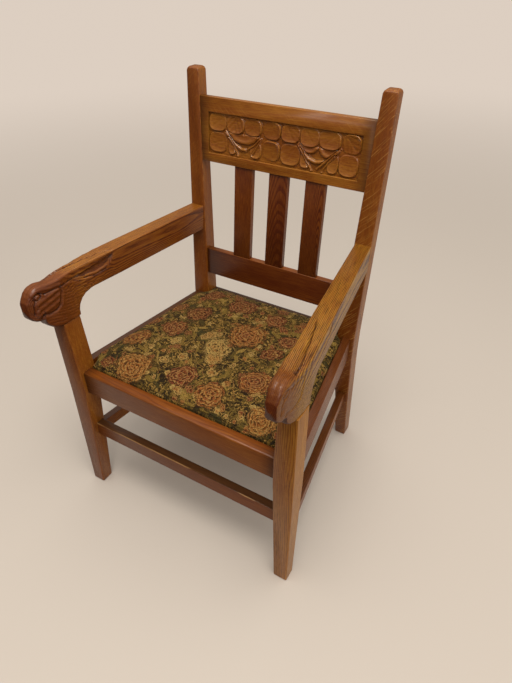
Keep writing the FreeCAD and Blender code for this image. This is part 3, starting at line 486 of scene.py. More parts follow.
# Arms: a rounded section carried from the beak to the back post, with the eagle's head cut into it.
# Millimetres; along runs from the face of the front post (0) towards the back post.
armShape = {
    "postFace": -250.0,
    "top": [
        (-77, 662), (-75.5, 671), (-72, 679), (-64, 690.5), (-57, 698.5), (-50, 703.5), (-42, 706.2),
        (-30, 706.8), (-17, 705), (-6, 703.4), (8, 703.8), (26, 705.3), (46, 706.6), (60, 707), (520, 707),
    ],
    "foot": [
        (-77, 656), (-75.5, 646), (-72, 638.5), (-66, 631), (-58, 624.5), (-50, 621), (-42, 619.5),
        (-38.4, 619), (-37.6, 611), (-36, 605), (-33, 599.5), (-22, 589.5), (-8, 584), (-1.5, 583),
        (54, 583), (54.6, 597), (60, 611), (70, 623.5), (82, 632), (97, 636.8), (110, 638), (520, 638),
    ],
    "outer": [
        (-77, 317), (-74, 320.5), (-66, 322.5), (-40, 325), (-10, 327.5), (20, 331), (54, 331), (520, 269.9),
    ],
    "inner": [
        (-77, 301), (-74, 297.5), (-66, 295.5), (-40, 292.5), (-10, 288), (15, 285), (54, 285), (520, 228.5),
    ],
    "round": [(-77, 5), (-70, 7.5), (-50, 8), (-10, 7), (40, 5), (120, 3.5), (170, 2.2), (520, 2.0)],
    "outerRound": [
        (-77, 5), (-70, 8), (-50, 10), (-20, 12), (60, 13), (110, 9), (160, 4), (220, 2.5), (520, 2.0),
    ],
    "eye": (-44, 684),
    "cheekEdge": [
        (18, 681), (18, 670), (12, 654), (5, 638), (-8, 631), (-25, 630), (-38, 635), (-44, 629), (-48, 622),
    ],
    # fine lines are cut on the inner side only; this is how much of the carving the outer side has
    "outerShare": 0.38,
    "sidePoints": 100,
    "topPoints": 36,
    "footPoints": 16,
    "cornerPoints": 7,
}


def armStations():
    # where the sections stand: close together round the tip and the head, wide apart on the plain plank
    tip = -77 + 5 * (1 - np.cos(np.linspace(0.05, 1, 14) * math.pi / 2))
    head = np.arange(-71.4, 60, 1.0)
    neck = np.arange(60, 200, 1.6)
    return np.concatenate([tip, head, neck, np.arange(200, 506, 9), [508.3]])


def sideCarving(along, up, fine):
    # Depth in mm over the arm's side, below 0 cut in: a sum of bell curves beside lines of the side view,
    # and of cosines across the feathers, cheek and beak, each faded out at its borders.
    eyeY, eyeZ = armShape["eye"]
    ledge = np.interp(along, [-10, 15, 40, 74, 175], [680, 682, 685.5, 689, 699])
    scoopFoot = np.interp(along, [30, 52, 87, 121, 144, 160, 168, 176],
                          [684, 680, 670, 669, 671, 675, 682, 698])
    into = (ledge - up) / np.maximum(ledge - scoopFoot, 0.6)
    scoop = -5.6 * fade(into, -0.04, 0.12) * fade(into, 1.2, 0.30)
    scoop = scoop * fade(along, 36, 66) * fade(along, 178, 172)
    underLedge = -2.2 * ridge(along, up, [(72, 686.5), (40, 684.5), (15, 681.5)], 2.4)
    quill = -1.6 * ridge(along, up, [(150, 668), (118, 666), (84, 671), (47, 680)], 1.9)
    quill = quill + 1.2 * ridge(along, up, [(152, 674), (122, 671), (92, 675)], 2.6)

    lowered = -1.4 * fade(along, -10, 30) * fade(along, 178, 160) * fade(up, 690, 672)
    sweep = up + 0.23 * along + 1.6 * np.sin(along * 0.06)
    strands = np.exp(-(np.sin(sweep * 0.40) / 0.42) ** 2)
    strands = strands + 0.5 * np.exp(-(np.sin(sweep * 0.93 + 1.0) / 0.5) ** 2)
    onNeck = fade(along, 15, 24) * fade(along, 150, 84) * fade(up, 678, 668) * fade(up, 588, 596)
    onThroat = fade(along, -40, -32) * fade(along, 18, 12) * fade(up, 630, 623) * fade(up, 588, 596)
    feathers = -0.62 * strands * (onNeck + onThroat) * fine

    hollow = -3.2 * ridge(along, up, armShape["cheekEdge"], 3.4)
    stripe = up - 0.26 * along
    onCheek = fade(lineDistance(along, up, armShape["cheekEdge"]), 3, 7)
    onCheek = onCheek * fade(along, 18, 8) * fade(along, -56, -46)
    onCheek = onCheek * fade(up, 632, 638) * fade(stripe, 689, 682)
    cheek = (1.4 + 0.85 * np.cos((stripe - 650) * 2 * math.pi / 14.5) * fine) * onCheek
    mouth = -3.0 * ridge(along, up, [(-51, 675), (-57, 666), (-58, 655), (-60, 645)], 1.9)
    lobe = 2.2 * np.exp(-(((along + 52) / 6.5) ** 2 + ((up - 643) / 8) ** 2) ** 2)
    pit = -1.8 * np.exp(-(np.hypot(along + 51, up - 655) / 2.0) ** 2)
    ring = np.hypot((along - eyeY - 0.35 * (up - eyeZ)) / 9.0, (up - eyeZ) / 7.2)
    eye = 1.8 * np.exp(-(ring / 0.66) ** 6) - 3.0 * np.exp(-((ring - 0.98) / 0.22) ** 2)
    eyeCorner = -2.4 * ridge(along, up, [(-40, 691), (-33, 688), (-25, 683)], 1.8)
    crease = -2.2 * ridge(along, up, [(-25, 684), (-4, 684), (16, 683)], 2.0)
    brow = 1.6 * ridge(along, up, [(14, 690), (-8, 692), (-28, 696), (-44, 698), (-56, 693)], 3.2)
    reach = np.hypot(along + 50, (up - 660) / 1.25)
    onBeak = fade(reach, 11, 14) * fade(reach, 28, 25) * fade(along, -52, -57)
    onBeak = onBeak * fade(up, 630, 640) * fade(up, 696, 688)
    beak = -1.0 * np.exp(-(np.sin(reach * math.pi / 4.4) / 0.45) ** 2) * onBeak * fine
    return (scoop + underLedge + quill + lowered + feathers + hollow + cheek + mouth + lobe + pit
            + eye + eyeCorner + crease + brow + beak)


def topCarving(along, across):
    # depth in mm over the arm's top: a long leaf-shaped hollow of a width that follows along, its furrows
    # a cosine across it, bell curves beside the lines of the notch, the second cut and the crown, and a
    # smooth step down along the outer edge
    middle = np.interp(along, [-4, 18, 53, 80, 108, 158], [317, 316, 309.5, 306, 300, 288])
    wide = np.interp(along, [-4, 18, 53, 80, 108, 158], [8.2, 6.8, 5.0, 3.4, 2.2, 1.2])
    offset = across - middle
    lengthways = fade(along, -6, -2) * fade(along, 160, 140)
    dished = 0.66 + 0.34 * np.clip(offset / wide, -1, 1)
    bed = -4.6 * fade(np.abs(offset), wide + 0.6, wide - 0.8) * dished * lengthways
    furrows = 0.6 * np.cos(offset * 2.6) * fade(np.abs(offset), wide, wide - 1.2) * lengthways
    notch = -2.0 * ridge(along, across, [(181, 264), (174, 273), (162, 286), (139, 293)], 1.2)
    secondCut = -1.6 * ridge(along, across, [(178, 308), (159, 312), (129, 316)], 1.7)
    crown = -0.9 * ridge(along, across, [(-24, 308), (-40, 308), (-60, 308)], 3.0)
    edge = np.interp(along, [-40, -10, 20, 54, 520], [325, 327.5, 331, 331, 269.9])
    shoulder = -2.6 * fade(across, edge - 18, edge - 6) * fade(along, 120, 60) * fade(along, -36, -4)
    return bed + furrows + notch + secondCut + crown + shoulder


def makeArm(word, side):
    # At each station a section of four corner arcs, centre + corner x (cos, sin), joined by straight runs.
    # Each point then moves along its own facing by the carving's depth there.
    along = armStations()[:, None]
    top = softLine(armShape["top"], along, 1.2)
    foot = softLine(armShape["foot"], along, 0.35)
    outer = softLine(armShape["outer"], along, 3.0)
    inner = softLine(armShape["inner"], along, 3.0)
    tip = np.sqrt(np.clip((along + 77.2) / 5.2, 0, 1))
    middleZ = (top + foot) / 2
    middleX = (outer + inner) / 2
    top = middleZ + (top - middleZ) * tip
    foot = middleZ + (foot - middleZ) * tip
    outer = middleX + (outer - middleX) * tip
    inner = middleX + (inner - middleX) * tip
    largest = 0.95 * np.minimum((top - foot) / 2, (outer - inner) / 2)
    small = np.minimum(softLine(armShape["round"], along, 4.0), largest)
    large = np.minimum(softLine(armShape["outerRound"], along, 4.0), largest)

    quarter = np.linspace(0, math.pi / 2, armShape["cornerPoints"] + 2)
    sideShare = np.linspace(0, 1, armShape["sidePoints"])[1:-1]
    topShare = np.linspace(0, 1, armShape["topPoints"])[1:-1]
    footShare = np.linspace(0, 1, armShape["footPoints"])[1:-1]
    parts = []
    corners = [(outer - large, top - large, large), (inner + small, top - small, small),
               (inner + small, foot + small, small), (outer - small, foot + small, small)]
    runs = [topShare, sideShare, footShare, sideShare]
    for number, (centreX, centreZ, corner) in enumerate(corners):
        angle = quarter + number * math.pi / 2
        arcX = centreX + corner * np.cos(angle)
        arcZ = centreZ + corner * np.sin(angle)
        parts.append((arcX, arcZ, np.cos(angle) + 0 * along, np.sin(angle) + 0 * along))
        nextX, nextZ, nextCorner = corners[(number + 1) % 4]
        last = angle[-1]
        endX = nextX + nextCorner * math.cos(last)
        endZ = nextZ + nextCorner * math.sin(last)
        share = runs[number]
        runX = arcX[:, -1:] + (endX - arcX[:, -1:]) * share
        runZ = arcZ[:, -1:] + (endZ - arcZ[:, -1:]) * share
        parts.append((runX, runZ, math.cos(last) + 0 * runX, math.sin(last) + 0 * runX))
    across, up, facingX, facingZ = (np.concatenate(items, axis=1) for items in zip(*parts))
    stations = along + 0 * across

    onSide = fade(np.abs(facingX), 0.15, 0.75)
    onTop = fade(facingZ, 0.35, 0.95)
    share = np.where(facingX > 0, armShape["outerShare"], 1.0)
    onTopCarving = topCarving(stations, across)
    depth = sideCarving(stations, up, facingX < 0) * onSide * share + onTopCarving * onTop
    tucked = fade(facingX, 0.3, 0.9) * fade(up, 640, 700) * fade(stations, 120, 60) * fade(stations, -40, -10)
    depth = depth - 1.5 * tucked
    depth = depth * fade(stations, -77, -70) * fade(stations, 240, 200)
    depth = depth * fade(up, 583.5, 588)
    # a hand-worked surface is never quite flat
    hand = 0.25 * np.sin(stations * 0.21 + up * 0.17) * np.sin(up * 0.23 - across * 0.11)
    depth = depth + hand * fade(stations, 200, 140) * fade(up, 583.5, 590)
    across = across + facingX * depth
    up = up + facingZ * depth
    points = np.stack([side * across, stations + armShape["postFace"], up], axis=-1)
    piece = makePiece("arm_" + word + "_carved", [points], ring=True, capped=True, sharp=70)
    # painted shade: darker where the carving is cut below its surroundings, and in the hollow on the top
    low = blurred(depth, 14) - blurred(depth, 1)
    darkened = 0.42 * onTop * fade(-onTopCarving, 1.8, 4.5) * fade(stations, 220, 180) * fade(stations, -10, 0)
    addField(piece, "recess", np.clip(low / 1.4, 0, 1) * (onSide + 0.5 * onTop) + darkened)
    return piece


# each arm's top is drawn paler, from wear and from painted light from above
arms = {
    "left": {"side": -1, "tone": 0.42, "wornAndLit": 0.74, "contrast": 0.8, "polish": (-0.175, -0.250),
             "look": oakLook},
    "right": {"side": 1, "tone": 0.40, "wornAndLit": 0.60, "contrast": 1.1, "polish": (-0.235, -0.285),
              "look": paleArm},
}
for word, arm in arms.items():
    node = "arm_" + word
    side = arm["side"]
    material = boardOak(node, "deep", arm["tone"], (-side * 0.085, -0.045), arm["wornAndLit"], 0.0, arm["contrast"],
                        -side * armTurn, arm["look"], polish=arm["polish"])
    piece = makeArm(word, side)
    piece.data.materials.append(material)
    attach(piece, "chair_frame")
    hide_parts(node)
print("arms carved")


# Crest carving: a relief over the floor of the sunk field. x is across the chair and z is up the leaning
# back from the seat, both in mm; the height of the relief comes forward from the floor.
backLean = {"y": 238.0, "z": 430.0, "angle": 4.3, "floor": 9.0}
crestShape = {
    "field": (-210.6, 210.6, 428.6, 529.4),
    "step": 0.7,
    # leaves: left, right, foot, top, the side whose rim curls forward, the way of the midrib, its ribs
    "leaves": [
        (-210, -159, 486, 529, -130, 40, 0.2), (-157, -105, 486, 529, -60, 80, 0.8),
        (-105, -54, 487, 529, -25, 70, 0.3), (-50, 0, 486, 529, 0, 88, 0.3),
        (1, 51, 487, 529, -120, 115, 0.4), (53, 102, 485, 529, -115, 125, 0.2),
        (102, 158, 486, 529, -55, 50, 0.3), (162, 209, 484, 529, 60, 130, 0.7),
        (-210, -156, 433, 483, -140, 20, 0.3), (-50, 0, 435, 483, 40, 100, 0.2),
        (1, 55, 433, 484, -115, 60, 0.3), (158, 207, 432, 482, -95, 90, 0.3),
        (128, 157, 432, 478, -80, 70, 0.2), (-150, -128, 434, 470, -90, 100, 0.2),
        (-86, -54, 433, 474, -70, 75, 0.6), (56, 84, 434, 472, -100, 120, 0.2),
    ],
    # moons: middle, top, half the width, depth and height of a half disc with a rolled rim
    "moons": [(-106, 489, 47, 27, 6.2), (78, 489, 26, 20, 5.6), (130, 489, 28, 25, 5.8)],
    # stems: their line, half their width and their height
    "stems": [
        ([(-160, 486), (-146, 473), (-130, 460), (-112, 450), (-98, 450)], 4.4, 6.3),
        ([(-150, 474), (-134, 457), (-121, 434)], 2.6, 4.8),
        ([(-54, 484), (-64, 466), (-78, 443)], 2.6, 4.6),
        ([(-58, 482), (-74, 465), (-94, 452)], 2.6, 4.6),
        ([(51, 486), (62, 471), (78, 458), (98, 452), (116, 455)], 5.2, 6.6),
        ([(55, 478), (70, 456), (88, 434)], 2.6, 4.8),
        ([(160, 491), (143, 474), (124, 457), (103, 437)], 3.0, 5.8),
        ([(146, 472), (131, 456), (117, 434)], 2.6, 4.6),
    ],
    # buds: middle and radius; nodes: where stems part, cut in
    "buds": [(-122, 432, 3.8), (88, 431.5, 3.8), (117, 431.5, 3.8)],
    "nodes": [(-161, 486), (-53, 491), (52, 487), (160, 489), (-105, 487), (104, 488)],
}


def leafHeight(x, z, leaf):
    # A dished leaf: u and v run from -1 to 1 over it, spread is how near its rim is, and its height is a
    # tilt plus spread to the power 3.4, less the crease along the midrib and the veins beside it.
    left, right, low, high, curl, midrib, ribs = leaf
    u = (x - (left + right) / 2) / ((right - left) / 2)
    v = (z - (low + high) / 2) / ((high - low) / 2)
    spread = (np.abs(u) ** 2.9 + np.abs(v) ** 2.9) ** (1 / 2.9)
    edge = fade(spread, 1.04, 0.93)
    facing = 0.5 + 0.5 * np.cos(np.arctan2(v, u) - math.radians(curl))
    way = math.radians(midrib)
    beside = u * math.sin(way) - v * math.cos(way)
    along = u * math.cos(way) + v * math.sin(way)
    veins = ribs * 0.35 * np.cos((np.abs(beside) + 0.55 * along) * 13)
    crease = -(0.15 + 0.8 * ribs) * np.exp(-(beside / 0.10) ** 2) * fade(spread, 1.0, 0.6)
    tilt = 1.3 * (u * math.cos(math.radians(curl)) + v * math.sin(math.radians(curl)))
    return edge * np.clip(2.4 + tilt + spread ** 3.4 * (1.0 + 3.0 * facing) + crease + veins, 0.6, 7.0)


def crestRelief(x, z):
    # the highest of a rippled floor, the leaves, the rolled moons and the half-round stems and buds, cut
    # down in the grooves beside the stems and at the nodes
    height = 0.9 + 0.3 * np.sin(x * 0.35 + z * 0.22) * np.sin(z * 0.31 - x * 0.12)
    for leaf in crestShape["leaves"]:
        height = np.maximum(height, leafHeight(x, z, leaf))
    for middle, top, wide, deep, tall in crestShape["moons"]:
        u = (x - middle) / wide
        v = (z - top) / deep
        spread = np.hypot(u, v)
        rolled = 0.45 + 0.55 * np.exp(-((spread - 0.80) / 0.22) ** 2)
        moon = tall * rolled * fade(spread, 1.02, 0.90) * fade(z, top + 0.5, top - 4)
        height = np.maximum(height, moon)
    for line, wide, tall in crestShape["stems"]:
        away = lineDistance(x, z, line)
        groove = 0.6 + (away - wide) * 1.5
        height = np.where((away > wide) & (away < wide + 2.4), np.minimum(height, groove), height)
        height = np.maximum(height, tall * np.sqrt(np.clip(1 - (away / wide) ** 2, 0, 1)))
    for budX, budZ, size in crestShape["buds"]:
        away = np.hypot(x - budX, z - budZ)
        height = np.maximum(height, 6.0 * np.sqrt(np.clip(1 - (away / size) ** 2, 0, 1)))
    for nodeX, nodeZ in crestShape["nodes"]:
        away = np.hypot((x - nodeX) * 1.2, (z - nodeZ) * 0.7)
        height = np.minimum(height, 0.3 + away * 0.9)
    return height


def backPoint(x, deep, up):
    # a point of the leaning back: deep is behind the line of the posts' faces, up is along the back
    lean = math.radians(backLean["angle"])
    y = backLean["y"] + deep * math.cos(lean) + up * math.sin(lean)
    z = backLean["z"] + up * math.cos(lean) - deep * math.sin(lean)
    return np.stack(np.broadcast_arrays(x, y, z), axis=-1)


def makeCrestCarving():
    # the relief over a grid of x and z, its border sunk into the panel and closed by one face behind
    left, right, low, high = crestShape["field"]
    columns = np.arange(left, right + 0.1, crestShape["step"])
    rows = np.arange(low, high + 0.1, crestShape["step"])
    x, z = np.meshgrid(columns, rows)
    height = blurred(crestRelief(x, z), 2)
    # painted shade: darker where the relief lies below its surroundings
    recess = np.clip((blurred(height, 24) - height) / 2.4, 0, 1)
    height[0, :] = height[-1, :] = height[:, 0] = height[:, -1] = -0.5
    front = backPoint(x, backLean["floor"] - height, z)
    piece = makePiece("crest_carving", [front], sharp=75)
    shell = bmesh.new()
    shell.from_mesh(piece.data)
    border = [edge for edge in shell.edges if edge.is_boundary]
    bmesh.ops.contextual_create(shell, geom=border)
    bmesh.ops.recalc_face_normals(shell, faces=shell.faces)
    shell.to_mesh(piece.data)
    shell.free()
    addField(piece, "recess", recess)
    return piece


carvedLook = dict(oakLook, coat=0.9, coatRoughness=0.20, roughness=0.40)
carvedOak = makeWood("oak_carved", carvedLook, grainTurns["across"], middleOf("crest_panel"), (0.060, 0.040),
                     tone=0.60, wornAndLit=0.3, contrast=0.12, seed=0.9)
crestCarving = makeCrestCarving()
crestCarving.data.materials.append(carvedOak)
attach(crestCarving, "chair_frame")
print("crest carved")


# Drop-in seat: the outline of the covered frame, in mm, right half from front to back.
seatShape = {
    "outline": [(275, -212.3), (275, -198), (293, -168), (238.7, 214), (214, 238), (214, 263.8)],
    "middle": 25.0,
    # corners are softened over this angle, in radians, to each side
    "soften": 0.012,
    "ringPoints": 360,
    "foot": 440.6,
    "lip": 436.6,
    "wall": 0.8,
    "crown": 16.0,
    "inset": 1.2,
    # the cloth: voxel in metres, pressure, frames, and the most that a point moves, in metres
    "voxel": 0.004,
    "pressure": 4.0,
    "frames": 20,
    "cap": 0.006,
    # how much of the move across stays, and where from the edge the move upwards fades in
    "drawnIn": 0.1,
    "tightEdge": (0, 60),
}


def seatReach(angle, inset):
    # How far the seat's edge is from its middle in each direction: where the ray (cos, sin) crosses the
    # outline, averaged over a few angles beside it.
    right = [(x - inset, y + inset * np.sign(seatShape["middle"] - y)) for x, y in seatShape["outline"]]
    corners = right + [(-x, y) for x, y in reversed(right)]
    shifts = np.linspace(-seatShape["soften"], seatShape["soften"], 7)
    total = 0
    for shift in shifts:
        turned = angle + shift
        nearest = np.full(angle.shape, 1e9)
        for (startX, startY), (endX, endY) in zip(corners, corners[1:] + corners[:1]):
            startY = startY - seatShape["middle"]
            endY = endY - seatShape["middle"]
            runX = endX - startX
            runY = endY - startY
            across = np.cos(turned) * runY - np.sin(turned) * runX
            across = np.where(np.abs(across) < 1e-9, 1e-9, across)
            reach = (startX * runY - startY * runX) / across
            share = (np.sin(turned) * startX - np.cos(turned) * startY) / across
            hit = (reach > 0) & (share >= -1e-6) & (share <= 1 + 1e-6)
            nearest = np.where(hit, np.minimum(nearest, reach), nearest)
        total = total + nearest
    return total / len(shifts)


def seatRing(reach, angle, height):
    # one ring round the seat's middle: (reach cos, middle + reach sin, height)
    return np.stack([reach * np.cos(angle), reach * np.sin(angle) + seatShape["middle"],
                     np.full(angle.shape, height)], axis=-1)


def makePad():
    # A closed pad of rings, each the seat's edge times a share. Under the pad they grow to the lip, and
    # over it they shrink while they rise by crown x (1 - share to the power 3.2) to the power 0.95.
    angle = roundAngles(seatShape["ringPoints"])
    reach = seatReach(angle, seatShape["inset"])
    rings = []
    for share in np.linspace(0.02, 0.94, 20):
        rings.append((share, seatShape["foot"]))
    for share in (0.965, 0.99):
        rings.append((share, seatShape["lip"]))
    rings.append((1.0, seatShape["lip"] + 1.0))
    rings.append((0.997, seatShape["foot"] - 1.2))
    rings.append((0.988, seatShape["foot"] + seatShape["wall"]))
    for share in np.linspace(0.975, 0.02, 24):
        lift = (1 - share ** 3.2) ** 0.95
        rings.append((share, seatShape["foot"] + seatShape["wall"] + seatShape["crown"] * lift))
    grid = [seatRing(reach * share, angle, height) for share, height in rings]
    return makePiece("seat_cushion", [np.array(grid)], ring=True, capped=True, sharp=180)


def coordinates(mesh):
    flat = np.empty(len(mesh.vertices) * 3)
    mesh.vertices.foreach_get("co", flat)
    return flat.reshape(-1, 3)


def applyModifiers(piece):
    made = bpy.data.meshes.new_from_object(piece.evaluated_get(bpy.context.evaluated_depsgraph_get()))
    piece.modifiers.clear()
    piece.data = made


def stuffPad(piece):
    # The pad as even voxels, blown up as pressurised cloth. Each point keeps up to cap of its move, less
    # of it across and none of it upwards at the edge, and stays above the frame.
    remesh = piece.modifiers.new("voxels", "REMESH")
    remesh.mode = "VOXEL"
    remesh.voxel_size = seatShape["voxel"]
    applyModifiers(piece)
    before = coordinates(piece.data)
    cloth = piece.modifiers.new("cloth", "CLOTH")
    cloth.settings.use_pressure = True
    cloth.settings.uniform_pressure_force = seatShape["pressure"]
    cloth.settings.effector_weights.gravity = 0
    scene = bpy.context.scene
    for number in range(1, seatShape["frames"] + 1):
        scene.frame_set(number)
    applyModifiers(piece)
    scene.frame_set(1)
    after = coordinates(piece.data)
    moved = after - before
    length = np.linalg.norm(moved, axis=1, keepdims=True)
    moved = moved * np.minimum(1, seatShape["cap"] / np.maximum(length, 1e-9))
    flat = before[:, :2] / mm - np.array([0, seatShape["middle"]])
    inside = seatReach(np.arctan2(flat[:, 1], flat[:, 0]), 0) - np.hypot(flat[:, 0], flat[:, 1])
    moved[:, :2] = moved[:, :2] * seatShape["drawnIn"]
    moved[:, 2] = moved[:, 2] * fade(inside, *seatShape["tightEdge"])
    settled = before + moved
    floor = seatShape["lip"] + (seatShape["foot"] - seatShape["lip"]) * fade(inside, 8, 11)
    settled[:, 2] = np.maximum(settled[:, 2], floor * mm - 0.0004)
    piece.data.vertices.foreach_set("co", settled.ravel())
    smoother = piece.modifiers.new("finer", "SUBSURF")
    smoother.levels = 1
    smoother.render_levels = 1
    applyModifiers(piece)
    piece.data.shade_smooth()


# Tapestry: flowers (x, y from the post's face, radius, hue, petals), in mm. Hue runs from rust (0) by
# rose (0.25), orange (0.5) and peach (0.7) to cream (1).
tapestry = {
    "flowers": [
        (-58, 440, 46, 0.15, 11), (-170, 455, 32, 0.25, 9), (-148, 345, 38, 0.08, 9),
        (25, 318, 55, 0.50, 13), (-168, 258, 38, 0.28, 9), (-225, 355, 27, 0.38, 8),
        (-240, 175, 42, 0.52, 10), (-165, 75, 52, 0.60, 12), (-32, 105, 38, 0.12, 10),
        (62, 85, 40, 0.50, 10), (140, 170, 45, 0.40, 11), (210, 75, 40, 0.66, 9),
        (-15, 232, 42, 0.95, 12), (0, 195, 28, 0.88, 8), (-60, 275, 20, 0.84, 7),
        (120, 285, 28, 0.05, 8), (-130, 205, 16, 1.00, 6), (60, 420, 33, 0.22, 9),
        (95, 395, 13, 0.26, 6), (135, 350, 28, 0.24, 8), (50, 480, 20, 0.20, 7),
        (-240, 62, 20, 0.05, 7), (-20, 62, 14, 0.92, 6), (200, 300, 30, 0.30, 9),
        (215, 200, 26, 0.55, 8), (-250, 270, 24, 0.30, 8), (-70, 165, 17, 0.90, 6),
        (25, 150, 16, 0.85, 6), (-110, 130, 15, 0.96, 6), (235, 130, 20, 0.15, 7),
        (-100, 480, 18, 0.30, 7), (150, 440, 30, 0.45, 9),
    ],
    "leafCount": 560,
    "sprigCount": 190,
    "petalLength": 8.5,
    # the front posts' face, from which flowers are placed, is this far before the frame's zero
    "start": 250,
    # threads to a metre
    "threads": (1150.0, 1450.0, 900.0),
    # the two layers of blades, in cells to a metre, and how far in metres they are bent
    "blades": ((120.0, 300.0, 0.0), (290.0, 130.0, 0.0)),
    "bladeBend": (0.018, 0.018, 0.0),
    "ground": (0.024, 0.016, 0.006),
    "moss": (0.060, 0.040, 0.009),
    "olive": (0.140, 0.083, 0.015),
    "straw": (0.290, 0.168, 0.038),
    "leafDark": (0.040, 0.034, 0.010),
    "leafMiddle": (0.150, 0.092, 0.016),
    "leafLight": (0.30, 0.190, 0.042),
    "outline": (0.016, 0.008, 0.0035),
    "rust": (0.165, 0.038, 0.010),
    "rose": (0.200, 0.050, 0.020),
    "orange": (0.260, 0.080, 0.015),
    "peach": (0.310, 0.130, 0.030),
    "cream": (0.380, 0.245, 0.070),
}


def weaveFields(x, y):
    # Smooth fields over the cloth. The flower with the largest margin, (1 - distance / radius) times its
    # size, gives a spot its own numbers. A leaf is 1 - p squared - |q|, with p along it and q across.
    random = np.random.default_rng(7)
    warpX = 3.0 * np.sin(y * 0.075 + 1.1) + 1.6 * np.sin(x * 0.16 + y * 0.11)
    warpY = 3.0 * np.sin(x * 0.068 + 0.4) + 1.6 * np.sin(y * 0.15 - x * 0.12)
    x = x + warpX
    y = y + warpY
    sprigs = [(random.uniform(-295, 295), random.uniform(35, 515), random.uniform(5, 10),
               random.choice([0.2, 0.55, 0.9, 1.0]), 5) for _ in range(tapestry["sprigCount"])]
    best = np.full(x.shape, -1e9)
    flower = {name: np.zeros(x.shape) for name in ("flowerX", "flowerY", "radius", "hue", "petals", "reach")}
    for flowerX, flowerY, radius, hue, petals in tapestry["flowers"] + sprigs:
        runX = x - flowerX
        runY = y - flowerY
        reach = np.hypot(runX, runY) / radius
        margin = (1 - reach) * (radius + 14)
        wins = margin > best
        best = np.where(wins, margin, best)
        for name, update in zip(flower, (runX, runY, radius, hue, petals, reach)):
            flower[name] = np.where(wins, update, flower[name])
    leaf = np.full(x.shape, -1.0)
    tone = np.zeros(x.shape)
    vein = np.zeros(x.shape)
    barb = np.zeros(x.shape)
    for _ in range(tapestry["leafCount"]):
        leafX = random.uniform(-300, 300)
        leafY = random.uniform(20, 525)
        length = random.uniform(10, 25)
        width = length * random.uniform(0.20, 0.36)
        heading = random.uniform(0, math.pi * 2)
        leafTone = random.uniform(0, 1)
        near = np.hypot(x - leafX, y - leafY) < length * 1.1
        runX = x[near] - leafX
        runY = y[near] - leafY
        p = (runX * math.cos(heading) + runY * math.sin(heading)) / length
        q = (-runX * math.sin(heading) + runY * math.cos(heading)) / width
        q = q + 0.35 * p ** 2
        value = 1 - p ** 2 - np.abs(q)
        wins = value > leaf[near]
        barbs = p * length / 3.4 + np.abs(q) * 0.9
        tones = np.full(value.shape, leafTone)
        for field, update in ((leaf, value), (tone, tones), (vein, np.abs(q)), (barb, barbs)):
            current = field[near]
            current[wins] = update[wins]
            field[near] = current
    return dict(flower, leaf=leaf, leafTone=tone, vein=vein, barb=barb)


def addTapestryFields(piece):
    # the cloth laid flat: a point on the wall moves outwards by how far it hangs below the foot
    points = coordinates(piece.data) / mm
    away = points[:, :2] - np.array([0, seatShape["middle"]])
    drop = np.clip(seatShape["foot"] - points[:, 2], 0, 40)[:, None]
    flat = points[:, :2] + away / np.linalg.norm(away, axis=1, keepdims=True) * drop
    fields = weaveFields(flat[:, 0], flat[:, 1] + tapestry["start"])
    for name, values in fields.items():
        addField(piece, name, values)


def tornBlades(place, drift):
    # how a spot lies in two layers of long cells, one laid across the other and mixed in patches: the
    # cell's own number from 0 to 1, and the distance from its rim
    bent = place.vector("ADD", drift.vector("MULTIPLY", tapestry["bladeBend"]))
    blades = []
    for stretch in tapestry["blades"]:
        laid = bent.vector("MULTIPLY", stretch)
        cells = {"Vector": laid, "Scale": 1.0}
        tuft = laid.node("ShaderNodeTexVoronoi", None, cells, "Color").part(0)
        rim = laid.node("ShaderNodeTexVoronoi", {"feature": "DISTANCE_TO_EDGE"}, cells)
        blades.append((tuft, rim))
    patches = place.noise(28.0, 1.0, 0.5).fade(0.47, 0.53)
    return [first * (1.0 - patches) + second * patches for first, second in zip(*blades)]


